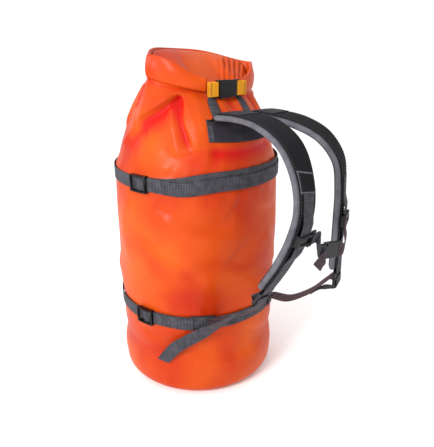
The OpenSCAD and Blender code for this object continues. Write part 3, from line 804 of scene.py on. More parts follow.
def line_distance(x: Array, y: Array, line: Array) -> tuple[Array, Array, Array]:
    """Signed distance from points to a broken line.

    Args:
        x: the points' places across.
        y: their heights.
        line: (n, 2) points of the line.

    Returns:
        Distance, positive on the line's left; share of the way along; distance past its ends.
    """
    best = np.full(x.shape, 1e9)
    signed, along, past = np.zeros(x.shape), np.zeros(x.shape), np.zeros(x.shape)
    last = len(line) - 1
    for i in range(last):
        a, d = line[i], line[i + 1] - line[i]
        size = np.hypot(*d)
        raw = ((x - a[0]) * d[0] + (y - a[1]) * d[1]) / size**2
        t = np.clip(raw, 0, 1)
        dx, dy = x - a[0] - t * d[0], y - a[1] - t * d[1]
        far = np.hypot(dx, dy)
        side = (d[0] * (y - a[1]) - d[1] * (x - a[0])) / size
        near = far < best
        best = np.where(near, far, best)
        signed = np.where(near, side, signed)
        along = np.where(near, (i + t) / last, along)
        beyond = np.maximum(np.maximum(-raw, raw - 1), 0) * size
        past = np.where(near, beyond if i in (0, last - 1) else 0.0, past)
    return signed, along, past


@dataclass(frozen=True)
class Fold:
    """A fold in the cloth along a line of (angle, height): a ridge or, negative, a valley."""

    line: tuple[tuple[float, float], ...]
    height: float
    width: float
    fade: float = 12.0
    lean: float = 0.0

    def depth(self, angle: Array, z: Array) -> Array:
        """Height times a crest of the distance over the width, fading at both ends.

        The lean makes one flank steeper: the width grows on one side and shrinks on the other.

        Args:
            angle: angles from the front, in degrees.
            z: heights in millimetres.

        Returns:
            Depth in millimetres, negative in a valley.
        """
        scale = 125.0 * np.pi / 180
        line = np.array(self.line, float)
        line = curve_through(line, 9) if len(line) > 2 else line
        flat = np.stack([line[:, 0] * scale, line[:, 1]], -1)
        signed, along, past = line_distance(angle * scale, z, flat)
        width = self.width * np.where(signed > 0, 1 + self.lean, 1 - self.lean)
        ends = bell(past / self.fade) * smooth(np.minimum(along * 5 + 0.35, (1 - along) * 3 + 0.25))
        return self.height * crest(signed / width) * ends


# Angle from the front in degrees, height in millimetres
FOLDS = (
    Fold(((-37, 598), (-51, 587), (-68, 570), (-82, 555), (-93, 538)), 8.0, 12.0, 10, -0.62),
    Fold(((-43, 585), (-59, 567), (-72, 550), (-88, 535)), -7.0, 11.0, 12, 0.45),
    Fold(((-90, 533), (-98, 512), (-105, 488)), 5.0, 12.0, 16, -0.4),
    Fold(((-78, 533), (-86, 513), (-92, 490)), -3.5, 14.0, 20, 0.3),
    Fold(((-45, 592), (-47, 565), (-47, 545), (-44, 522), (-40, 500)), -8.0, 9.5, 10, -0.5),
    Fold(((-56, 572), (-54, 545), (-51, 515), (-48, 488)), 5.0, 12.0, 18, 0.35),
    Fold(((-40, 574), (-37, 540), (-34, 500)), 2.5, 13.0, 12, 0.3),
    Fold(((-29, 592), (-30, 560), (-29, 525)), 2.5, 10.0, 20),
    Fold(((-38, 602), (-20, 591), (-2, 586)), -3.5, 9.0, 15),
    Fold(((-28, 497), (-5, 493), (20, 497), (36, 502)), -6.0, 15.0, 18, -0.4),
    Fold(((-20, 480), (5, 474), (34, 480)), 2.0, 16.0, 22),
    Fold(((0, 588), (2, 570), (3, 556)), -3.5, 6.0, 10, 0.3),
    Fold(((-8, 588), (-7, 572), (-6, 556)), 2.5, 6.0, 10),
    Fold(((12, 588), (11, 572), (10, 556)), 2.5, 5.0, 10),
    Fold(((33, 586), (37, 560), (38, 530), (36, 503)), -7.0, 9.0, 14, 0.5),
    Fold(((44, 584), (48, 555), (52, 525)), 5.5, 10.0, 18, -0.4),
    Fold(((60, 584), (58, 555), (64, 528), (75, 503)), -7.0, 10.0, 16, -0.5),
    Fold(((80, 586), (84, 556), (92, 524), (100, 493)), 6.0, 11.0, 20, 0.5),
    Fold(((104, 594), (106, 562), (104, 530)), -7.0, 10.0, 18, 0.5),
    Fold(((116, 590), (122, 556), (130, 520), (134, 490)), 4.5, 11.0, 20, -0.5),
    Fold(((134, 602), (138, 570), (146, 535), (154, 500)), -5.5, 11.0, 20, 0.5),
    Fold(((152, 604), (156, 575), (162, 545)), 4.5, 10.0, 18, -0.4),
    Fold(((174, 606), (176, 575), (174, 530), (168, 498)), -6.0, 11.0, 20, 0.55),
    Fold(((-172, 606), (-168, 570), (-164, 540), (-158, 510)), 5.5, 10.0, 18, -0.5),
    Fold(((-150, 606), (-148, 578), (-142, 545), (-134, 508)), -6.5, 11.0, 20, 0.5),
    Fold(((-130, 606), (-127, 578), (-120, 548), (-116, 520)), 5.5, 10.0, 18, -0.5),
    Fold(((-112, 604), (-112, 580), (-110, 556)), -5.0, 9.0, 16, 0.4),
    Fold(((-60, 500), (-48, 484), (-30, 477)), -1.6, 16.0, 20, 0.4),
    Fold(((-76, 500), (-64, 478), (-50, 468)), 2.5, 13.0, 20),
)


# The filled tube's own dents and slanting creases, in the same measures
DENTS = (
    Fold(((-62, 404), (-38, 372), (-8, 356)), -3.2, 17.0, 16, 0.5),
    Fold(((-56, 378), (-30, 346), (4, 330)), 2.4, 18.0, 18, -0.4),
    Fold(((-8, 408), (14, 380), (40, 366)), -3.0, 17.0, 16, -0.5),
    Fold(((-70, 336), (-48, 300), (-30, 250)), -3.0, 20.0, 20, 0.5),
    Fold(((-52, 330), (-34, 286), (-18, 232)), 2.2, 18.0, 20, -0.3),
    Fold(((-12, 300), (10, 262), (38, 240)), -3.2, 20.0, 18, 0.5),
    Fold(((20, 330), (34, 290), (42, 246)), 2.4, 18.0, 20, -0.4),
    Fold(((-84, 402), (-92, 340), (-88, 270)), 2.0, 20.0, 22, 0.4),
    Fold(((-74, 136), (-50, 112), (-20, 104)), -3.0, 15.0, 14, 0.5),
    Fold(((-36, 84), (-6, 72), (28, 80)), 2.4, 15.0, 14, -0.4),
    Fold(((0, 138), (22, 112), (46, 100)), -2.8, 15.0, 14, -0.5),
    Fold(((64, 404), (88, 360), (104, 300)), -3.0, 20.0, 20, 0.5),
    Fold(((76, 290), (96, 250), (124, 226)), -2.8, 20.0, 20, -0.5),
    Fold(((110, 410), (134, 372), (150, 316)), 2.4, 20.0, 20, 0.4),
    Fold(((150, 300), (172, 258), (178, 222)), -3.0, 20.0, 20, 0.5),
    Fold(((-170, 408), (-146, 370), (-128, 330)), -3.0, 20.0, 20, 0.4),
    Fold(((-150, 290), (-128, 254), (-108, 232)), 2.4, 20.0, 20, -0.4),
    Fold(((84, 130), (110, 108), (140, 100)), -2.8, 15.0, 14, 0.4),
    Fold(((-166, 132), (-138, 110), (-110, 104)), -2.8, 15.0, 14, -0.4),
)


@dataclass
class BagShell:
    """The filled tarpaulin tube, its soft base and its pleated neck, in one skin."""

    columns: int = 330
    corner: float = 28.0
    band_heights: tuple[float, float] = (UPPER_BAND_Z, LOWER_BAND_Z)

    def slack(self, angle: Array, z: Array) -> Array:
        """How far the filled tube swells or dips at an angle and height.

        Swell is a half sine between the bands; each band nips the tube in a bell, with short
        creases above and below it; wide dents are products of slow sines.

        Args:
            angle: angles from the front, in degrees.
            z: heights in millimetres.

        Returns:
            Swell in millimetres.
        """
        a = np.radians(angle)
        high, low = self.band_heights
        between = np.sin(np.pi * np.clip((z - low) / (high - low), 0, 1)) * 1.2
        nip = -1.4 * (bell((z - high) / 16) + bell((z - low) / 16))
        foot = 2.2 * bell((z - 52) / 20) - 1.8 * bell((z - 96) / 16)
        dents = 1.3 * np.sin(3 * a + z / 61) * np.sin(z / 47 + 1.0) + 0.9 * np.sin(5 * a - z / 83 + 2)
        creases = np.zeros(np.broadcast(angle, z).shape)
        for height, seed in ((high, 0.0), (low, 1.7)):
            lines = np.sin(23 * a + 4 * np.sin(3 * a + seed) + seed) ** 3
            creases += 0.9 * lines * bell((np.abs(z - height) - 24) / 14)
        fade = smooth((z - 8) / 30)
        free = smooth((np.abs(z - high) - 15) / 14) * smooth((np.abs(z - low) - 15) / 14)
        slanting = self.folds(angle, z + 0 * angle, DENTS) * free
        return (between + nip + foot + dents * (0.6 + 0.5 * free) + 0.8 * creases + 1.5 * slanting) * fade

    def folds(self, angle: Array, z: Array, chosen: tuple[Fold, ...] = FOLDS) -> Array:
        """Sum of the chosen folds, read also one turn away so that none stops at the back.

        Args:
            angle: angles from the front, in degrees.
            z: heights in millimetres.
            chosen: the folds to sum.

        Returns:
            Their depths together, in millimetres.
        """
        total = np.zeros(np.broadcast(angle, z).shape)
        for fold in chosen:
            for turn in (-360, 0, 360):
                near = angle + turn + 0 * z
                ends = [p[0] for p in fold.line]
                if near.max() < min(ends) - 40 or near.min() > max(ends) + 40:
                    continue
                total += fold.depth(near, z)
        return total

    def cover(self, angle: Array, share: Array) -> Array:
        """The gathered cloth inside the roll, climbing from its front to its back.

        Height goes from the front edge to the back edge of each front-to-back line with an
        eased share; pleats are sharpened sines across, strongest right of the middle.

        Args:
            angle: angles from the front, in degrees.
            share: share of the way from the middle to the rim.

        Returns:
            The points of the cover.
        """
        a = np.radians(angle)
        x = share * NECK.half_x * np.sin(a)
        y = -NECK.lean - share * NECK.half_y * np.sign(np.cos(a)) * np.abs(np.cos(a)) ** 1.35
        chord = np.sqrt(np.clip(1 - (x / (0.9 * NECK.half_x)) ** 2, 0.02, 1))
        front = -NECK.lean - 0.9 * NECK.half_y * chord
        back = -NECK.lean + 0.86 * NECK.half_y * chord
        t = np.clip((y - front) / (back - front), 0, 1)
        arm = 20 * smooth((np.abs(x) - 30) / 22)
        low = NECK.floor(x, front) + arm
        high = NECK.floor(x, back) + 43
        wall = smooth((1 - share) / 0.12)
        slant = x - 0.7 * y
        fan = (slant - 84) / (0.7 + 0.3 * t)
        sharp = np.abs(np.sin(fan * np.pi / 14 + 0.8)) - 0.6
        right = smooth((slant - 50) / 14) * smooth((118 - slant) / 12) * smooth((104 - x) / 10)
        slow = 1.6 * np.sin(x / 21 + 1.2 + 2 * t) * smooth((40 - x) / 20)
        pleats = (9 * sharp * right + slow) * smooth(t * 6 + 0.25) * smooth((1.02 - t) * 3)
        height = low + (high - low) * smooth(t * 0.92 + 0.04) + pleats
        floor = NECK.floor(x, y)
        z = floor + (height - floor) * wall
        return np.stack([x, y, z], -1)

    def build(self, shop: Workshop) -> Piece:
        """Rows go from the middle of the base up the wall and the neck to the cover's middle.

        Args:
            shop: makes the finishes and dresses the pieces.

        Returns:
            The dressed shell.
        """
        angle = np.arange(self.columns) * 360 / self.columns - 180
        a = np.radians(angle)[None]
        ring = np.stack([np.sin(a[0]), -np.cos(a[0])], -1)
        flat = NECK.radius - self.corner
        turn = np.radians(np.linspace(0, 90, 12))
        radii = np.concatenate([np.linspace(4, flat - 4, 6), flat + self.corner * np.sin(turn)])
        heights = np.concatenate([np.zeros(6), self.corner * (1 - np.cos(turn))])
        tall = np.linspace(self.corner, NECK.shoulder, 112)[1:]
        radii = np.concatenate([radii, np.full(len(tall), NECK.radius)])
        heights = np.concatenate([heights, tall])
        swell = self.slack(angle[None], heights[:, None])
        level = np.repeat(heights[:, None], self.columns, 1)[..., None]
        body = np.concatenate([(radii[:, None] + swell)[..., None] * ring[None], level], -1)
        share = np.linspace(0, 1, 92)[1:, None]
        plain = NECK.point(angle[None], share)
        fold = self.folds(angle[None], plain[..., 2])
        keep = smooth((1.0 - share) * 9 + 0.2)
        seat = self.slack(angle[None], plain[..., 2]) * smooth(1 - share * 4)
        neck = NECK.point(angle[None], share, fold * keep + seat)
        inner = np.array([0.995, 0.985, 0.97, 0.95, 0.93, 0.91, 0.89, *np.linspace(0.86, 0.04, 34)])[:, None]
        cover = self.cover(angle[None], inner)
        grid = np.concatenate([body, neck, cover])
        down = run_length(grid[:, 0])
        span = np.linspace(0, 2 * np.pi * NECK.radius, self.columns + 1)
        uv = np.stack(np.meshgrid(span, down), -1)
        shell = grid_object("tarpaulin_shell", grid, uv)
        rows = len(body) + len(neck) + len(cover)
        # Painted shade mask, stored as the fold attribute: where shade falls in the neck's fold valleys and
        # just under the roll
        deep = np.zeros((rows, self.columns))
        start = len(body)
        # Painted shade: fold valleys (negative fold depth) on the neck darken towards the deep red
        deep[start : start + len(neck)] = np.clip(-fold * keep / 5.5, 0, 0.9)
        # Painted shade in a narrow band just under the roll
        under = bell((1 - share) / 0.035) * 0.45
        deep[start : start + len(neck)] = np.maximum(deep[start : start + len(neck)], under)
        values = np.concatenate([deep.ravel(), [0.0, 0.0]]).astype(np.float32)
        painted_shade_layer = shell.data.attributes.new("fold", "FLOAT", "POINT")
        painted_shade_layer.data.foreach_set("value", values)
        return shop.dress(shell, Cloth.TARPAULIN, nodes=("bag_tube", "base_panel"))


@dataclass
class RolledMouth:
    """The mouth rolled up tight and bent round until its two ends meet the buckle."""

    thick: float = 15.0
    tall: float = 45.0
    end_tall: float = 28.0
    end_angle: float = 20.0
    turns: float = 2.4

    def spiral(self) -> tuple[Array, Array]:
        """Section of the roll: a flattened spiral wall, out along one side and back.

        A point at angle f has radius 1 less a share of f; across is a cosine and up a sine,
        both raised to a low power so that the roll is flat-sided; it thins towards its top.

        Returns:
            Place across and up, as shares of the half sizes.
        """
        f = np.linspace(0, self.turns * 2 * np.pi, 78)
        shrink = 1 - 0.62 * f / f[-1]
        wall = 0.11
        way = np.concatenate([f, f[::-1]])
        size = np.concatenate([shrink, (shrink - wall)[::-1]])
        c, s = np.cos(way - 1.9), np.sin(way - 1.9)
        across = size * np.sign(c) * np.abs(c) ** 0.62
        up = size * np.sign(s) * np.abs(s) ** 0.7
        return across * (1 - 0.42 * smooth((up + 0.1) / 1.1)), up

    def line(self, a: Array) -> tuple[Array, Array, Array]:
        """Middle line of the roll, its outward direction and its height at angles a.

        The line is an ellipse whose depth is a power of the cosine, so its two sides crease.

        Args:
            a: angles from the front, in degrees.

        Returns:
            Points, outward directions and heights.
        """
        half_x, half_y = NECK.half_x - self.thick / 2 + 1.5, NECK.half_y + 6.0
        r = np.radians(a)
        y = np.sign(np.cos(r)) * np.abs(np.cos(r)) ** 1.35
        place = np.stack([half_x * np.sin(r), -NECK.lean - half_y * y], -1)
        run = unit(np.gradient(place, axis=0))
        out = np.stack([run[:, 1], -run[:, 0]], -1)
        near = np.minimum(a, 360 - a)
        height = self.end_tall + (self.tall - self.end_tall) * smooth((near - self.end_angle) / 44)
        return place, out, height

    def build(self, shop: Workshop) -> Piece:
        """Sweeps the spiral round, with slow waves and a few creases pressed in its outside.

        Args:
            shop: makes the finishes and dresses the pieces.

        Returns:
            The dressed roll.
        """
        a = np.linspace(self.end_angle, 360 - self.end_angle, 193)
        place, out, height = self.line(a)
        if (out * (place - [[0, -NECK.lean]])).sum() < 0:
            out = -out
        across, up = self.spiral()
        low = NECK.floor(place[:, 0], place[:, 1]) + 1.0
        r = np.radians(a)[:, None]
        ripple = 0.7 * np.sin(7 * r + 2 * up[None]) + 0.5 * np.sin(13 * r - 3 * up[None] + 1)
        dent = -2.2 * bell((a[:, None] - 292) / 9 + 0.9 * up[None])
        dent = dent - 1.8 * bell((a[:, None] - 72) / 7 - up[None])
        corner = 5.0 * np.exp(-np.abs(a - 270) / 5) + 8.0 * np.exp(-np.abs(a - 88) / 8)
        deep = across[None] * self.thick / 2 + (ripple + dent) * np.clip(np.abs(across[None]), 0, 1) * 0.8
        deep = deep + corner[:, None]
        tall = low[:, None] + (up[None] + 1) / 2 * height[:, None]
        tall = tall + 1.2 * np.sin(5 * r + 0.6) * np.clip(up[None], 0, 1)
        grid = np.concatenate(
            [place[:, None] + deep[..., None] * out[:, None], tall[..., None]], -1
        )
        length = run_length(np.concatenate([place, low[:, None]], 1))
        round_way = run_length(np.stack([across * self.thick / 2, up * self.tall / 2, 0 * up], -1))
        round_way = np.append(round_way, round_way[-1] + 1)
        uv = np.stack(np.meshgrid(round_way, length), -1)[..., ::-1]
        roll = grid_object("rolled_mouth_spiral", grid, uv)
        shop.dress(roll, Cloth.TARPAULIN, nodes=("rolled_mouth",))
        self.stiffener(shop, place[6:-6], height[6:-6])
        return roll

    def stiffener(self, shop: Workshop, place: Array, height: Array) -> None:
        """The flat plastic strip at the roll's heart, seen only at its two open ends.

        Args:
            shop: makes the finishes and dresses the pieces.
            place: points of the roll's middle line.
            height: the roll's height at each.
        """
        low = NECK.floor(place[:, 0], place[:, 1]) + 1.0 + height / 2
        middle = np.concatenate([place, low[:, None]], 1)
        frames = Frames.through(middle, np.repeat([[0.0, 0, 1]], len(place), 0))
        piece = strip("mouth_stiffener_strip", frames, 11.0, 1.6)
        shop.dress(piece, Cloth.STIFFENER, nodes=("mouth_stiffener",))


# ---------------------------------------------------------------- closure


@dataclass
class Closure:
    """The yellow webbing tabs of the closure buckle."""

    centre: tuple[float, float, float] = (0.0, -104.0, 597.0)
    bar: float = BUCKLE_BAR
    loop: float = BAR_LOOP
    reach: float = 40.0
    width: float = WEB_WIDTH
    thick: float = WEB_THICK

    def tab(self, name: str, side: int) -> Piece:
        """A U of webbing round the buckle's bar; its legs draw together at the far end.

        Args:
            name: object name.
            side: -1 on the left, 1 on the right.

        Returns:
            The tab.
        """
        middle = np.array(self.centre)
        bar = middle + [side * self.bar, 0, 0]
        x, y, z = np.array([side, 0, 0]), np.array([0.0, -1, 0]), np.array([0, 0, 1.0])
        far = self.reach - self.bar
        t = np.linspace(1, 0.04, 12)[:, None]
        width = np.repeat(z[None], 12, 0)
        front = bar + x * far * t + y * self.loop * (1 - 0.25 * t**2)
        back = bar + x * far * t - y * self.loop
        legs = [Frames.through(front, width), half_turn(bar, self.loop, y, -x, z),
                Frames.through(back[::-1], width)]
        return strip(name, Frames.joined(legs), self.width, self.thick)

    def build(self, shop: Workshop) -> None:
        """Both tabs and the bar tacks that close them.

        Args:
            shop: makes the finishes and dresses the pieces.
        """
        left = self.tab("closure_tab_webbing_left", -1)
        shop.dress(left, Cloth.TAB, nodes=("closure_tab_left",))
        right = self.tab("closure_tab_webbing_right", 1)
        edge = self.centre[1] * MM
        shop.dress(right, Cloth.TAB, nodes=("closure_tab_right",),
                   bend=("closure_plug", (0.039, edge, 0.597), (0.025, edge, 0.597)))
        for side, name in ((-1, "left"), (1, "right")):
            z = np.linspace(-10, 10, 9)
            x = side * (self.reach - 4)
            place = np.stack([np.full(9, x), np.full(9, self.centre[1] - 3.0), self.centre[2] + z], -1)
            line = Frames.through(place, np.repeat([[1.0, 0, 0]], 9, 0))
            line.out = np.repeat([[0.0, -1, 0]], 9, 0)
            shop.dress(stitches(f"closure_tab_tack_{name}", line, 1.6, 0.6), Cloth.THREAD)


# ---------------------------------------------------------------- harness on the bag


@dataclass
class HarnessPatch:
    """The reinforcement on the neck's front, its side borders and the haul loop."""

    half_angle: float = 27.2
    low: float = 512.0
    high: float = 546.0

    def share(self, z: Array) -> Array:
        """Share of the neck's rise at a height, on the front."""
        front = NECK.floor(0.0, -NECK.lean - NECK.half_y)
        return (z - NECK.shoulder) / (front - NECK.shoulder)

    def panel(self, name: str, angles: tuple, heights: tuple, off: float, thick: float) -> Piece:
        """A panel that lies on the neck between two angles and two heights.

        Args:
            name: object name.
            angles: its two sides, in degrees from the front.
            heights: its bottom and top.
            off: distance of its underside from the neck.
            thick: its thickness.

        Returns:
            The panel.
        """
        angle = np.linspace(*angles, 40)
        z = np.linspace(*heights, 14)
        there = NECK.point(angle[:, None], self.share(z)[None], off)
        proud = NECK.point(angle[:, None], self.share(z)[None], off + thick)
        grid = np.concatenate([there, proud[:, ::-1]], 1)
        along = run_length(grid[:, 0])
        across = np.concatenate([z, z[::-1], z[:1]])
        uv = np.stack(np.meshgrid(across, along), -1)[..., ::-1]
        return grid_object(name, grid, uv)

    def edge_line(self, angles: tuple, heights: tuple, off: float) -> Frames:
        """A line on the panel from one angle and height to another.

        Args:
            angles: angles of the two ends, in degrees.
            heights: heights of the two ends.
            off: distance from the neck.

        Returns:
            Frames along the line.
        """
        t = np.linspace(0, 1, 40)
        (a0, a1), (z0, z1) = angles, heights
        place = NECK.point(a0 + (a1 - a0) * t, self.share(z0 + (z1 - z0) * t), off)
        out = unit(place * [1, 1, 0] + [0, NECK.lean * 0.7, 25.0])
        run = unit(np.gradient(place, axis=0))
        return Frames(place, run, unit(np.cross(out, run)), out)

    def build(self, shop: Workshop) -> None:
        """Panel, borders and their stitching.

        Args:
            shop: makes the finishes and dresses the pieces.
        """
        w, low, high = self.half_angle, self.low, self.high
        piece = self.panel("harness_panel", (-w, w), (low, high), 0.9, 1.4)
        shop.dress(piece, Cloth.PATCH, nodes=("harness_patch",))
        border = 4.2
        for name, a0 in (("left", -w), ("right", w - border)):
            piece = self.panel(f"harness_border_{name}", (a0, a0 + border), (low + 1, high - 8), 2.4, 0.8)
            shop.dress(piece, Cloth.WEBBING, nodes=("harness_patch_border",))
        on_panel, on_border = 2.5, 3.4
        left, right = -w + 1, w - 1
        upright = (low + 3, high - 9)
        lines = (
            ((left, right), (low + 2.5, low + 2.5), on_panel),
            ((left, right), (high - 2, high - 2), on_panel),
            ((left, left), upright, on_border),
            ((right, right), upright, on_border),
        )
        for number, line in enumerate(lines):
            shop.dress(stitches(f"harness_seam_{number}", self.edge_line(*line)), Cloth.THREAD)


@dataclass
class HaulLoop:
    """An inverted U of webbing up the front of the neck and behind the buckle."""

    rows: tuple = (
        (26, -34.7, 43.5, -34.7), (26, -30.5, 43.5, -30.5), (25.6, -24.3, 43.1, -24.3),
        (25.2, -17, 42.6, -17), (24.9, -10.8, 41.5, -10.8), (24.8, -6, 37.5, -5.5), (24.6, -2.5, 34, 0),
        (16, 0.5, 32, 12), (8, 0.5, 16, 12), (0, 0.5, 0, 12),
    )
    behind: float = -98.9

    def place(self, x: Array, rise: Array, off: float) -> Array:
        """Point over the neck's front, or on the flat stretch behind the buckle.

        Args:
            x: places across.
            rise: heights over the neck's front edge.
            off: distance outwards.

        Returns:
            The points.
        """
        front = NECK.floor(0.0, -NECK.lean - NECK.half_y)
        z = front + np.minimum(rise, -5)
        floor = NECK.floor(x, -NECK.lean - NECK.half_y * np.sqrt(1 - (x / NECK.half_x) ** 2))
        hx, hy, lean = NECK.halves((z - NECK.shoulder) / (floor - NECK.shoulder))
        y = -lean - (hy + off) * np.sqrt(1 - (x / (hx + off)) ** 2)
        y = np.where(rise > -4, self.behind + 2.66 - off, y)
        return np.stack([x, y, front + rise], -1)

    def build(self, shop: Workshop) -> None:
        """Both legs and the run between them, in one skin.

        Args:
            shop: makes the finishes and dresses the pieces.
        """
        rows = np.array(self.rows)
        count = len(rows)
        at = np.linspace(0, count - 1, 46)
        dense = np.stack([np.interp(at, np.arange(count), column) for column in rows.T], -1)
        t = np.linspace(0, 1, 8)
        sides = []
        for side in (-1, 1):
            x = side * (dense[:, :1] + (dense[:, 2:3] - dense[:, :1]) * t)
            rise = dense[:, 1:2] + (dense[:, 3:] - dense[:, 1:2]) * t
            near, far = self.place(x, rise, 0.7), self.place(x, rise, 2.4)
            sides.append(np.concatenate([near, far[:, ::-1]], 1))
        grid = np.concatenate([sides[0], sides[1][-2::-1]])
        along = run_length(grid[:, 3])
        across = np.concatenate([t, t[::-1], t[:1]]) * WEB_WIDTH
        uv = np.stack(np.meshgrid(across, along), -1)[..., ::-1]
        shop.dress(grid_object("haul_loop_webbing", grid, uv), Cloth.WEBBING, nodes=("haul_loop",))


class Level(Enum):
    """The two compression bands."""

    UPPER = "upper"
    LOWER = "lower"


@dataclass
class CompressionBand:
    """A webbing band round the tube, its tail and the keepers that hold it."""

    level: Level
    radius: float
    height: float
    tail_end: float
    drift: float
    rise: float = 0.0
    width: float = WEB_WIDTH
    thick: float = WEB_THICK
    slider: float = -71.0

    def lifted_by(self, angle: Array) -> Array:
        """Extra height at an angle from -180 to 180: up towards the front and the right."""
        a = (angle + 180) % 360 - 180
        return self.rise * smooth((a + 59) / 45) * smooth((150 - a) / 60)

    def ring_frames(self, angle: Array, radius: Array, height: Array) -> Frames:
        """Frames round the tube at an angle from the front, in degrees.

        Args:
            angle: angles from the front, in degrees.
            radius: distance from the tube's middle.
            height: heights in millimetres.

        Returns:
            The frames.
        """
        a = np.radians(angle)
        place = np.stack([radius * np.sin(a), -radius * np.cos(a), height + 0 * a], -1)
        out = np.stack([np.sin(a), -np.cos(a), 0 * a], -1)
        run = unit(np.gradient(place, axis=0))
        cross = unit(np.cross(out, run))
        return Frames(place, run, -cross, np.cross(run, -cross))

    def build(self, shop: Workshop) -> None:
        """The band with a slow waver and the tail lifted over the slider's bar.

        Args:
            shop: makes the finishes and dresses the pieces.
        """
        name = self.level.value
        angle = np.arange(0, 360, 1.5)
        waver = 0.5 * np.sin(np.radians(angle) * 5) + 0.3 * np.sin(np.radians(angle) * 11 + 1)
        ring = self.ring_frames(angle, self.radius + self.thick / 2 + 0 * angle,
                                self.height + waver + self.lifted_by(angle))
        ring.run = unit(np.roll(ring.place, -1, 0) - np.roll(ring.place, 1, 0))
        shop.dress(strip(f"{name}_band_webbing", ring, self.width, self.thick, ring=True), Cloth.WEBBING,
                   nodes=(f"{name}_band",))
        a = np.linspace(self.slider - 0.5, self.tail_end, 120)
        past = a - self.slider
        lift = 2.6 * (1 - smooth(past / 4)) + 0.5 * np.sin(past / 6) ** 2
        lie = self.radius + self.thick * 1.5 + 0.6 + lift
        fall = self.drift * smooth((past - 8) / 30)
        tail = self.ring_frames(a, lie, self.height - fall + self.lifted_by(a))
        ends = self.ring_frames(self.slider + np.array([14.0, 0.0]), self.radius + np.zeros(2), self.height)
        bend = (f"band_slider_{name}", *(tuple(end * MM) for end in ends.place))
        shop.dress(strip(f"{name}_band_tail_webbing", tail, self.width, self.thick), Cloth.WEBBING,
                   nodes=(f"{name}_band_tail",), bend=bend)

    def keepers(self, shop: Workshop) -> None:
        """Patches welded to the tube under the lower band.

        Args:
            shop: makes the finishes and dresses the pieces.
        """
        for name in ("left", "right"):
            lo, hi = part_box(f"band_keeper_{name}")
            centre = np.degrees(np.arctan2((lo.x + hi.x) / 2, -(lo.y + hi.y) / 2))
            angle = np.linspace(centre - 8, centre + 8, 24)
            frames = self.ring_frames(angle, NECK.radius + 0.8 + 0 * angle, self.height)
            piece = strip(f"band_keeper_patch_{name}", frames, 29.0, 1.0)
            shop.dress(piece, Cloth.PATCH, nodes=(f"band_keeper_{name}",))


# ---------------------------------------------------------------- shoulder straps

LEFT_ROUTE = Route([
    [-37, -150, 557, 1, 0, 0], [-37, -200, 561, 1, 0, 0], [-43, -262, 559, 1, 0.03, 0],
    [-49, -318, 540, 0.98, 0.14, 0], [-57, -354, 505, 0.96, 0.24, 0], [-63, -369, 462, 0.97, 0.24, 0],
    [-69, -363, 418, 0.98, 0.2, 0], [-75, -344, 372, 0.98, 0.18, 0], [-81, -319, 329, 0.99, 0.14, 0],
])
RIGHT_ROUTE = Route([
    [37, -150, 556, 1, 0, 0], [37, -190, 557, 1, 0, 0], [46, -238, 552, 0.97, 0.2, 0],
    [57, -282, 535, 0.9, 0.4, 0], [66, -309, 502, 0.85, 0.5, 0], [69, -315, 458, 0.83, 0.55, 0],
    [73, -313, 412, 0.83, 0.55, 0], [79, -309.5, 362, 0.86, 0.5, 0], [86, -304, 313, 0.9, 0.43, 0],
])


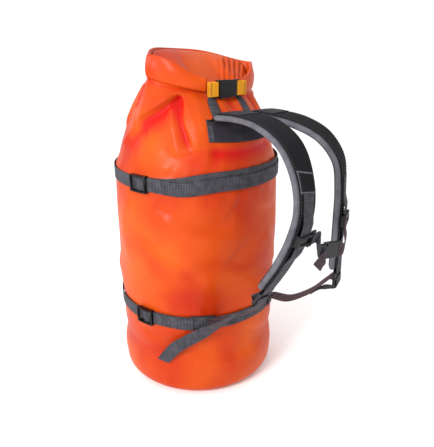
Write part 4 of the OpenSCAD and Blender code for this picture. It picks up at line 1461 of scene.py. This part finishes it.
@dataclass
class ShoulderStrap:
    """A padded strap: foam core with bound edges, mesh face, patch, webbing and its tails."""

    side: str
    route: Route
    slider_at: float
    sag: list
    anchor: float
    drop: float
    tail: list
    labelled: bool = False

    def pad_width(self, s: Array) -> Array:
        """Width of the pad, easing from the top's to the end's."""
        return PAD_TOP_WIDTH + (PAD_END_WIDTH - PAD_TOP_WIDTH) * smooth(s / (self.route.last - 1))

    def core(self, shop: Workshop) -> None:
        """The foam core: a crowned closed form, rounded off at both ends.

        Args:
            shop: makes the finishes and dresses the pieces.
        """
        s = np.linspace(0, self.route.last, 150)
        frames = self.route.frames(s)
        length = run_length(frames.place)
        end = np.minimum(length, length[-1] - length)
        cap = np.sqrt(np.clip(1 - (1 - np.clip(end / 9, 0, 1)) ** 2, 0.0, 1))
        width = self.pad_width(s) * (0.80 + 0.20 * cap)
        thick = PAD_THICK * (0.45 + 0.55 * cap)
        turn = np.linspace(0, 2 * np.pi, 41)[:-1]
        c, d = np.cos(turn), np.sin(turn)
        over = np.sign(c) * np.abs(c) ** 0.42
        up = np.sign(d) * np.abs(d) ** 0.62
        soft = 1 + 0.035 * np.sin(length[:, None] / 17) * np.abs(d)[None]
        grid = (
            frames.place[:, None]
            + (width[:, None] / 2 * over)[..., None] * frames.cross[:, None]
            + (thick[:, None] / 2 * up * soft)[..., None] * frames.out[:, None]
        )
        way = run_length(np.stack([over * 25, up * 5, 0 * up], -1))
        uv = np.stack(np.meshgrid(np.append(way, way[-1] + 2), length), -1)[..., ::-1]
        pad = grid_object(f"shoulder_pad_core_{self.side}", grid, uv)
        shop.dress(pad, Cloth.EDGE, nodes=(f"shoulder_pad_{self.side}",))

    def faces(self, shop: Workshop) -> None:
        """The mesh face outside, a thin lining inside, and a seam near each edge.

        Args:
            shop: makes the finishes and dresses the pieces.
        """
        s = np.linspace(0.2, self.route.last - 0.2, 130)
        frames = self.route.frames(s)
        width = self.pad_width(s) - 6.5
        outer, inner = frames.lifted(FACE_MIDDLE - 0.2), frames.lifted(-PAD_THICK / 2 - 0.1)
        face = strip(f"pad_face_mesh_{self.side}", outer, width, 1.4, crown=0.5, across=10)
        shop.dress(face, Cloth.MESH, nodes=(f"pad_face_{self.side}",))
        shop.dress(strip(f"pad_lining_{self.side}", inner, width - 3, 0.9, across=8), Cloth.MESH)
        for edge, name in ((-1, "outer"), (1, "inner")):
            line = frames.lifted(PAD_THICK / 2 + 1.5, edge * (width / 2 - 1.8))
            shop.dress(stitches(f"pad_seam_{self.side}_{name}", line, 3.0, 1.8), Cloth.THREAD)
        t = np.linspace(0.25, 1.25, 30)
        patch = self.route.frames(t).lifted(FACE_MIDDLE + 1.5)
        shop.dress(strip(f"pad_top_patch_{self.side}_cloth", patch, 42.0, 1.0, crown=0.3), Cloth.PATCH,
                   nodes=(f"pad_top_patch_{self.side}",))
        if self.labelled:
            t = np.linspace(4.0, 4.5, 20)
            label = self.route.frames(t).lifted(FACE_MIDDLE + 1.4)
            around = self.route.frames(np.linspace(3.95, 4.55, 20)).lifted(FACE_MIDDLE + 1.1)
            shop.dress(strip("pad_label_binding", around, 36.5, 0.7), Cloth.EDGE)
            shop.dress(strip("pad_label_blank", label, 33.0, 0.8), Cloth.MESH, nodes=("pad_label",))
            for edge, name in ((-1, "outer"), (1, "inner")):
                line = label.lifted(0.5, edge * 15.0)
                shop.dress(stitches(f"pad_label_seam_{name}", line, 2.2, 1.2), Cloth.THREAD)

    def tongue(self, shop: Workshop) -> None:
        """The cloth that joins the pad's top end to the patch.

        Args:
            shop: makes the finishes and dresses the pieces.
        """
        lo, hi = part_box(f"strap_tongue_{self.side}")
        x = (lo.x + hi.x) / 2 / MM
        rows = np.array([[lo.z / MM + 1.2, hi.y / MM], [lo.z / MM + 3.4, (hi.y / MM + lo.y / MM) / 2 + 2],
                         [hi.z / MM - 1.5, lo.y / MM]])
        line = curve_through(np.stack([np.full(3, x), rows[:, 1], rows[:, 0]], -1), 24)
        frames = Frames.through(line, np.repeat([[1.0, 0, 0]], 24, 0))
        shop.dress(strip(f"strap_tongue_cloth_{self.side}", frames, 46.0, 3.0), Cloth.MESH,
                   nodes=(f"strap_tongue_{self.side}",))

    def webbing(self, shop: Workshop) -> None:
        """Strap webbing over the slider and round the lock's bar, with its sewn start.

        Args:
            shop: makes the finishes and dresses the pieces.
        """
        s = np.linspace(4.55, self.route.last, 110)
        lift = WEB_SEAT + 3.8 * (1 - smooth((np.abs(s - self.slider_at) - 0.45) / 0.45))
        run = self.route.frames(s).lifted(lift)
        end = self.route.frames(np.array([float(self.route.last)]))
        bar = end.place[0] + LOCK_SEAT * end.out[0] + LOCK_GAP * end.run[0]
        turn = half_turn(bar, BAR_LOOP, end.out[0], end.run[0], end.cross[0])
        back = bar - BAR_LOOP * end.out[0] - np.linspace(0, LOCK_GAP - 1, 5)[:, None] * end.run[0]
        tuck = Frames.through(back, np.repeat(end.cross, 5, 0))
        web = strip(f"pad_webbing_{self.side}_woven", Frames.joined([run, turn, tuck]), WEB_WIDTH, WEB_THICK)
        shop.dress(web, Cloth.WEBBING, nodes=(f"pad_webbing_{self.side}",))
        for number, at in enumerate((4.6, 4.8)):
            here = self.route.frames(np.full(9, at))
            spread = np.linspace(-10, 10, 9)[:, None] * here.cross
            line = Frames(here.place + (WEB_SEAT + 0.8) * here.out + spread, here.cross, here.run, here.out)
            shop.dress(stitches(f"webbing_tack_{self.side}_{number}", line, 2.0, 0.8), Cloth.THREAD)

    def lock_point(self, run: float, out: float) -> Array:
        """A point on the ladder lock: past its hinge bar, and over its middle."""
        end = self.route.frames(np.array([float(self.route.last)]))
        return end.place[0] + (LOCK_SEAT + out) * end.out[0] + (LOCK_GAP + run) * end.run[0]

    def lower(self, shop: Workshop) -> None:
        """Lower webbing from the lock to the lower band, and the free tail.

        Args:
            shop: makes the finishes and dresses the pieces.
        """
        end = self.route.frames(np.array([float(self.route.last)]))
        across = end.cross[0]
        a = np.radians(self.anchor)
        flat = np.array([np.cos(a), np.sin(a), 0])

        def at(radius: float, z: float) -> list:
            """A row at the anchor's angle."""
            return [radius * np.sin(a), -radius * np.cos(a), z, *flat]

        seam, band = 164.0, LOWER_BAND_Z
        rows = [[*self.lock_point(15.2, 2.4), *across], [*self.lock_point(15.2, -4), *across],
                [*self.lock_point(16, -9), *across]]
        rows += [[*p, *((across + flat) / 2)] for p in self.sag]
        rows += [at(seam + 5, band + 12 - self.drop), at(seam + 0.9, band + 2 - self.drop),
                 at(seam + 0.4, band - 8 - self.drop)]
        route = Route(rows)
        way = route.frames(np.linspace(0, route.last, 130))
        web = strip(f"lower_webbing_{self.side}_woven", way, WEB_WIDTH, WEB_THICK)
        lock = f"lock_{self.side}"
        bend = (lock, tuple(np.array(self.sag[0]) * MM), tuple(self.lock_point(24, -4) * MM))
        shop.dress(web, Cloth.UNDER, nodes=(f"lower_webbing_{self.side}",), bend=bend)
        rows = [[*self.lock_point(12, 3.4), *across], [*self.lock_point(30, 3.4), *across], *self.tail]
        route = Route(rows)
        way = route.frames(np.linspace(0, route.last, 140))
        tail = strip(f"lower_tail_{self.side}_woven", way, WEB_WIDTH, WEB_THICK)
        bend = (lock, tuple(np.array(self.tail[0][:3]) * MM), tuple(self.lock_point(26, 3) * MM))
        shop.dress(tail, Cloth.WEBBING, nodes=(f"lower_tail_{self.side}",), bend=bend)

    def build(self, shop: Workshop) -> None:
        """Every soft layer of the strap, from the foam outwards.

        Args:
            shop: makes the finishes and dresses the pieces.
        """
        self.core(shop)
        self.faces(shop)
        self.tongue(shop)
        self.webbing(shop)
        self.lower(shop)


@dataclass
class SternumStrap:
    """The webbing across the chest: two ends looped on the buckle and held by the sliders."""

    middle: tuple = (-8.0, -375.0, 390.0)
    scale: float = 0.8
    bar: float = BUCKLE_BAR
    width: float = 20.0

    def axes(self) -> tuple[Array, Array, Array]:
        """The buckle's own directions: along the pull, through it, and across the webbing.

        Returns:
            The three directions, each of length one.
        """
        tilt, yaw = np.radians(11), np.radians(6)
        x = np.array([np.cos(tilt) * np.cos(yaw), np.cos(tilt) * np.sin(yaw), -np.sin(tilt)])
        y = np.array([-np.sin(yaw), np.cos(yaw), 0])
        return x, y, np.cross(x, y)

    def upright(self, route: Route, s: Array) -> Frames:
        """Frames whose width keeps the route's own direction, so that the strap slants evenly.

        Args:
            route: the webbing's line.
            s: stations, 0 at the first row and 1 more at each next.

        Returns:
            One frame per station.
        """
        here = route.frames(s)
        cross = unit(route.along(s)[:, 3:])
        return Frames(here.place, here.run, cross, unit(np.cross(here.run, cross)))

    def half(self, shop: Workshop, strap: ShoulderStrap, side: int) -> None:
        """One half: a loop round the buckle's bar, then the run to the slider's ring.

        Args:
            shop: makes the finishes and dresses the pieces.
            strap: the shoulder strap that holds it.
            side: 1 on the left, -1 on the right.
        """
        x, y, z = self.axes()
        thick = WEB_THICK * self.scale
        r = self.scale * BAR_LOOP
        bar = np.array(self.middle) - side * self.scale * self.bar * x
        away = -side * x
        here = strap.route.frames(np.array([strap.slider_at]))
        cross, out, run = here.cross[0], here.out[0], here.run[0]
        ring = (here.place[0] + side * 20.8 * cross + (WEB_SEAT + 5.8 + 1.9 + thick / 2) * out)
        reach = side * cross
        near_bar, near_ring = bar - r * y + 12 * away, ring + 12 * reach
        span = np.linalg.norm(near_ring - near_bar)
        between = (near_bar + near_ring) / 2 + span / 8 * (away + reach)
        rows = [[*(bar - r * y), *z], [*near_bar, *z], [*between, *((z - run) / 2)], [*near_ring, *-run],
                [*(ring - 4 * reach), *-run]]
        route = Route(rows)
        start = Frames.through(bar + r * y + np.linspace(7, 0.5, 5)[:, None] * away, np.repeat(z[None], 5, 0))
        loop = half_turn(bar, r, y, -away, z)
        web = self.upright(route, np.linspace(0.1, route.last, 60))
        name = "left" if side > 0 else "right"
        cloth = Cloth.WEBBING if side > 0 else Cloth.UNDER
        slider = f"strap_slider_{name}"
        far, near = (bar + 14 * away) * MM, (ring + 14 * reach) * MM
        if side > 0:
            web = strip("sternum_webbing_left_woven", Frames.joined([start, loop, web]), self.width, thick)
            shop.dress(web, cloth, nodes=("sternum_webbing_left",), bend=(slider, tuple(far), tuple(near)))
            return
        stub = self.upright(route, np.linspace(0.1, 1.2, 16))
        web = strip("sternum_webbing_right_loop", Frames.joined([start, loop, stub]), self.width, thick)
        shop.dress(web, cloth, body="sternum_plug")
        rest = self.upright(route, np.linspace(0.9, route.last, 50)).lifted(-0.25)
        web = strip("sternum_webbing_right_woven", rest, self.width * 0.98, thick)
        shop.dress(web, cloth, nodes=("sternum_webbing_right",), bend=(slider, tuple(far), tuple(near)))

    def build(self, shop: Workshop, left: ShoulderStrap, right: ShoulderStrap) -> None:
        """Both halves and the hanging tail.

        Args:
            shop: makes the finishes and dresses the pieces.
            left: the left shoulder strap.
            right: the right shoulder strap.
        """
        self.half(shop, left, 1)
        self.half(shop, right, -1)
        x, y, z = self.axes()
        start = np.array(self.middle) + self.scale * (-(self.bar + 1.4) * x - (3.3 + 2.6) * y)
        route = Route([[*start, *z], [-34, -388.9, 390, 0.1, 0, 1], [-44, -390, 385, 0.2, 0, 1],
                       [-51, -390, 378, 0.5, 0, 1]])
        hang = route.frames(np.linspace(0, route.last, 50))
        tail = strip("sternum_tail_woven", hang, self.width, WEB_THICK * self.scale)
        shop.dress(tail, Cloth.UNDER, nodes=("sternum_tail",))


# ---------------------------------------------------------------- hardware and stage


@dataclass
class Hardware:
    """The moulded parts: the CAD shapes with their edges rounded as a mould rounds them."""

    bodies: dict
    rounding: float = 0.45

    def moulded(self, shop: Workshop, node: str, body: str, source: Piece) -> None:
        """A copy of a CAD part, merged, with bevelled edges.

        Args:
            shop: makes the finishes and dresses the pieces.
            node: the CAD node's name.
            body: the body it rides on.
            source: the CAD node's object.
        """
        mesh = source.data.copy()
        work = bmesh.new()
        work.from_mesh(mesh)
        bmesh.ops.remove_doubles(work, verts=work.verts, dist=1e-6)
        bmesh.ops.dissolve_limit(work, angle_limit=0.02, verts=work.verts, edges=work.edges)
        work.to_mesh(mesh)
        work.free()
        piece = bpy.data.objects.new(f"{node}_moulded", mesh)
        bpy.context.scene.collection.objects.link(piece)
        bevel = piece.modifiers.new("mould_radius", "BEVEL")
        bevel.width = self.rounding * MM
        bevel.segments = 2
        bevel.limit_method = "ANGLE"
        bevel.angle_limit = np.radians(40)
        shop.dress(piece, Cloth.BUCKLE, body=body, nodes=(node,))

    def build(self, shop: Workshop, nodes: dict) -> None:
        """Every buckle, prong, slider and lock.

        Args:
            shop: makes the finishes and dresses the pieces.
            nodes: CAD node names to their objects.
        """
        words = ("buckle", "prong", "slider", "lock")
        for body, members in self.bodies.items():
            for node in members:
                if any(word in node for word in words):
                    self.moulded(shop, node, body, nodes[node])


@dataclass
class Studio:
    """Floor, lights and camera."""

    eye: tuple = (-0.53024, -0.82996, 0.684)
    forward: tuple = (0.5368, 0.7666, -0.3525)
    right: tuple = (0.8192, -0.5736, 0.0)
    lens: float = 40.27

    def camera(self) -> None:
        """A camera that looks down on the bag from its front left."""
        data = bpy.data.cameras.new("camera")
        data.lens = self.lens
        data.sensor_width = 36.0
        data.clip_start = 0.02
        view = bpy.data.objects.new("camera", data)
        f, r = Vector(self.forward).normalized(), Vector(self.right).normalized()
        up = r.cross(f)
        turn = Matrix((r, up, -f)).transposed().to_4x4()
        view.matrix_world = Matrix.Translation(self.eye) @ turn
        bpy.context.scene.collection.objects.link(view)
        bpy.context.scene.camera = view

    def light(self, name: str, place: tuple, aim: tuple, size: float, power: float) -> None:
        """A square soft light that points at a spot.

        Args:
            name: the lamp's name.
            place: where it stands, in metres.
            aim: the spot it points at.
            size: length of its sides.
            power: its power in watts.
        """
        data = bpy.data.lights.new(name, "AREA")
        data.size, data.energy = size, power
        lamp = bpy.data.objects.new(name, data)
        lamp.location = place
        lamp.rotation_euler = (Vector(aim) - Vector(place)).to_track_quat("-Z", "Y").to_euler()
        bpy.context.scene.collection.objects.link(lamp)

    def build(self) -> None:
        """Pale floor, white surroundings and three soft lights."""
        mesh = bpy.data.meshes.new("studio_floor")
        size = 6.0
        corners = [(-size, -size, 0), (size, -size, 0), (size, size, 0), (-size, size, 0)]
        mesh.from_pydata(corners, [], [(0, 1, 2, 3)])
        floor = bpy.data.objects.new("studio_floor", mesh)
        bpy.context.scene.collection.objects.link(floor)
        material, tree, shader = blank("painted_floor", 0.9)
        here = add(tree, "ShaderNodeTexCoord")
        noise = add(tree, "ShaderNodeTexNoise", {"Vector": here.outputs["Object"], "Scale": 2.0})
        colour = add(tree, "ShaderNodeMix", {FACTOR: noise, LOW: linear("#FDFDFD"), HIGH: linear("#FFFFFF")},
                     data_type="RGBA").outputs[MIXED]
        tree.links.new(colour, shader.inputs["Base Color"])
        mesh.materials.append(material)
        world = bpy.data.worlds.new("studio_air")
        world.use_nodes = True
        world.node_tree.nodes["Background"].inputs[0].default_value = (1, 1, 1, 1)
        world.node_tree.nodes["Background"].inputs[1].default_value = 0.82
        bpy.context.scene.world = world
        bpy.context.scene.view_settings.view_transform = "Standard"
        bpy.context.scene.view_settings.exposure = 0.32
        self.light("key", (-1.9, -0.7, 1.4), (0, 0, 0.35), 0.7, 38)
        self.light("fill", (1.5, -1.4, 0.9), (0, -0.1, 0.35), 1.4, 0.5)
        self.light("top", (0.2, 0.6, 2.2), (0, 0, 0.3), 1.2, 4)


def main() -> None:
    """Builds the bag from the shell outwards."""
    logging.basicConfig(level=logging.INFO, format="%(message)s")
    studio = Studio()
    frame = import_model()
    studio.camera()
    studio.build()
    shop = Workshop()
    BagShell().build(shop)
    RolledMouth().build(shop)
    Closure().build(shop)
    HarnessPatch().build(shop)
    HaulLoop().build(shop)
    CompressionBand(Level.UPPER, 160.3, UPPER_BAND_Z, 75.0, 11.0, rise=15.0).build(shop)
    lower = CompressionBand(Level.LOWER, 161.6, LOWER_BAND_Z, -36.0, 2.0)
    lower.build(shop)
    lower.keepers(shop)
    left = ShoulderStrap(
        "left", LEFT_ROUTE, 5.92, [[-71, -289, 275], [-65, -242, 235], [-61, -193, 201]], -22.0, 0.0,
        [[-97, -296, 280, 1, 0, 0], [-94, -258, 251, 1, 0, 0], [-84, -204, 205, 0.95, -0.2, -0.1],
         [-77, -165, 172, 0.8, -0.35, -0.3], [-92, -146, 153, 0.5, -0.35, -0.7],
         [-110, -130, 137, 0.35, -0.3, -0.85], [-127, -114, 119, 0.25, -0.3, -0.9],
         [-143, -92, 84, 0.6, -0.2, -0.75]],
        labelled=True,
    )
    right = ShoulderStrap(
        "right", RIGHT_ROUTE, 6.15, [[88, -280, 269], [90, -245, 233], [90, -194, 196]], 32.0, 4.0,
        [[92, -296, 264, 1, 0, 0], [90, -277, 256, 0.95, 0.25, 0], [90, -258, 240, 0.9, 0.35, 0]],
    )
    left.build(shop)
    right.build(shop)
    SternumStrap().build(shop, left, right)
    Hardware(frame["record"]["behaviour"]["bodies"]).build(shop, frame["nodes"])
    hidden = frame["nodes"]["side_seam_tape"]
    hidden.data.materials.clear()
    hidden.data.materials.append(shop.finish(Cloth.TARPAULIN))


if __name__ == "__main__":
    main()
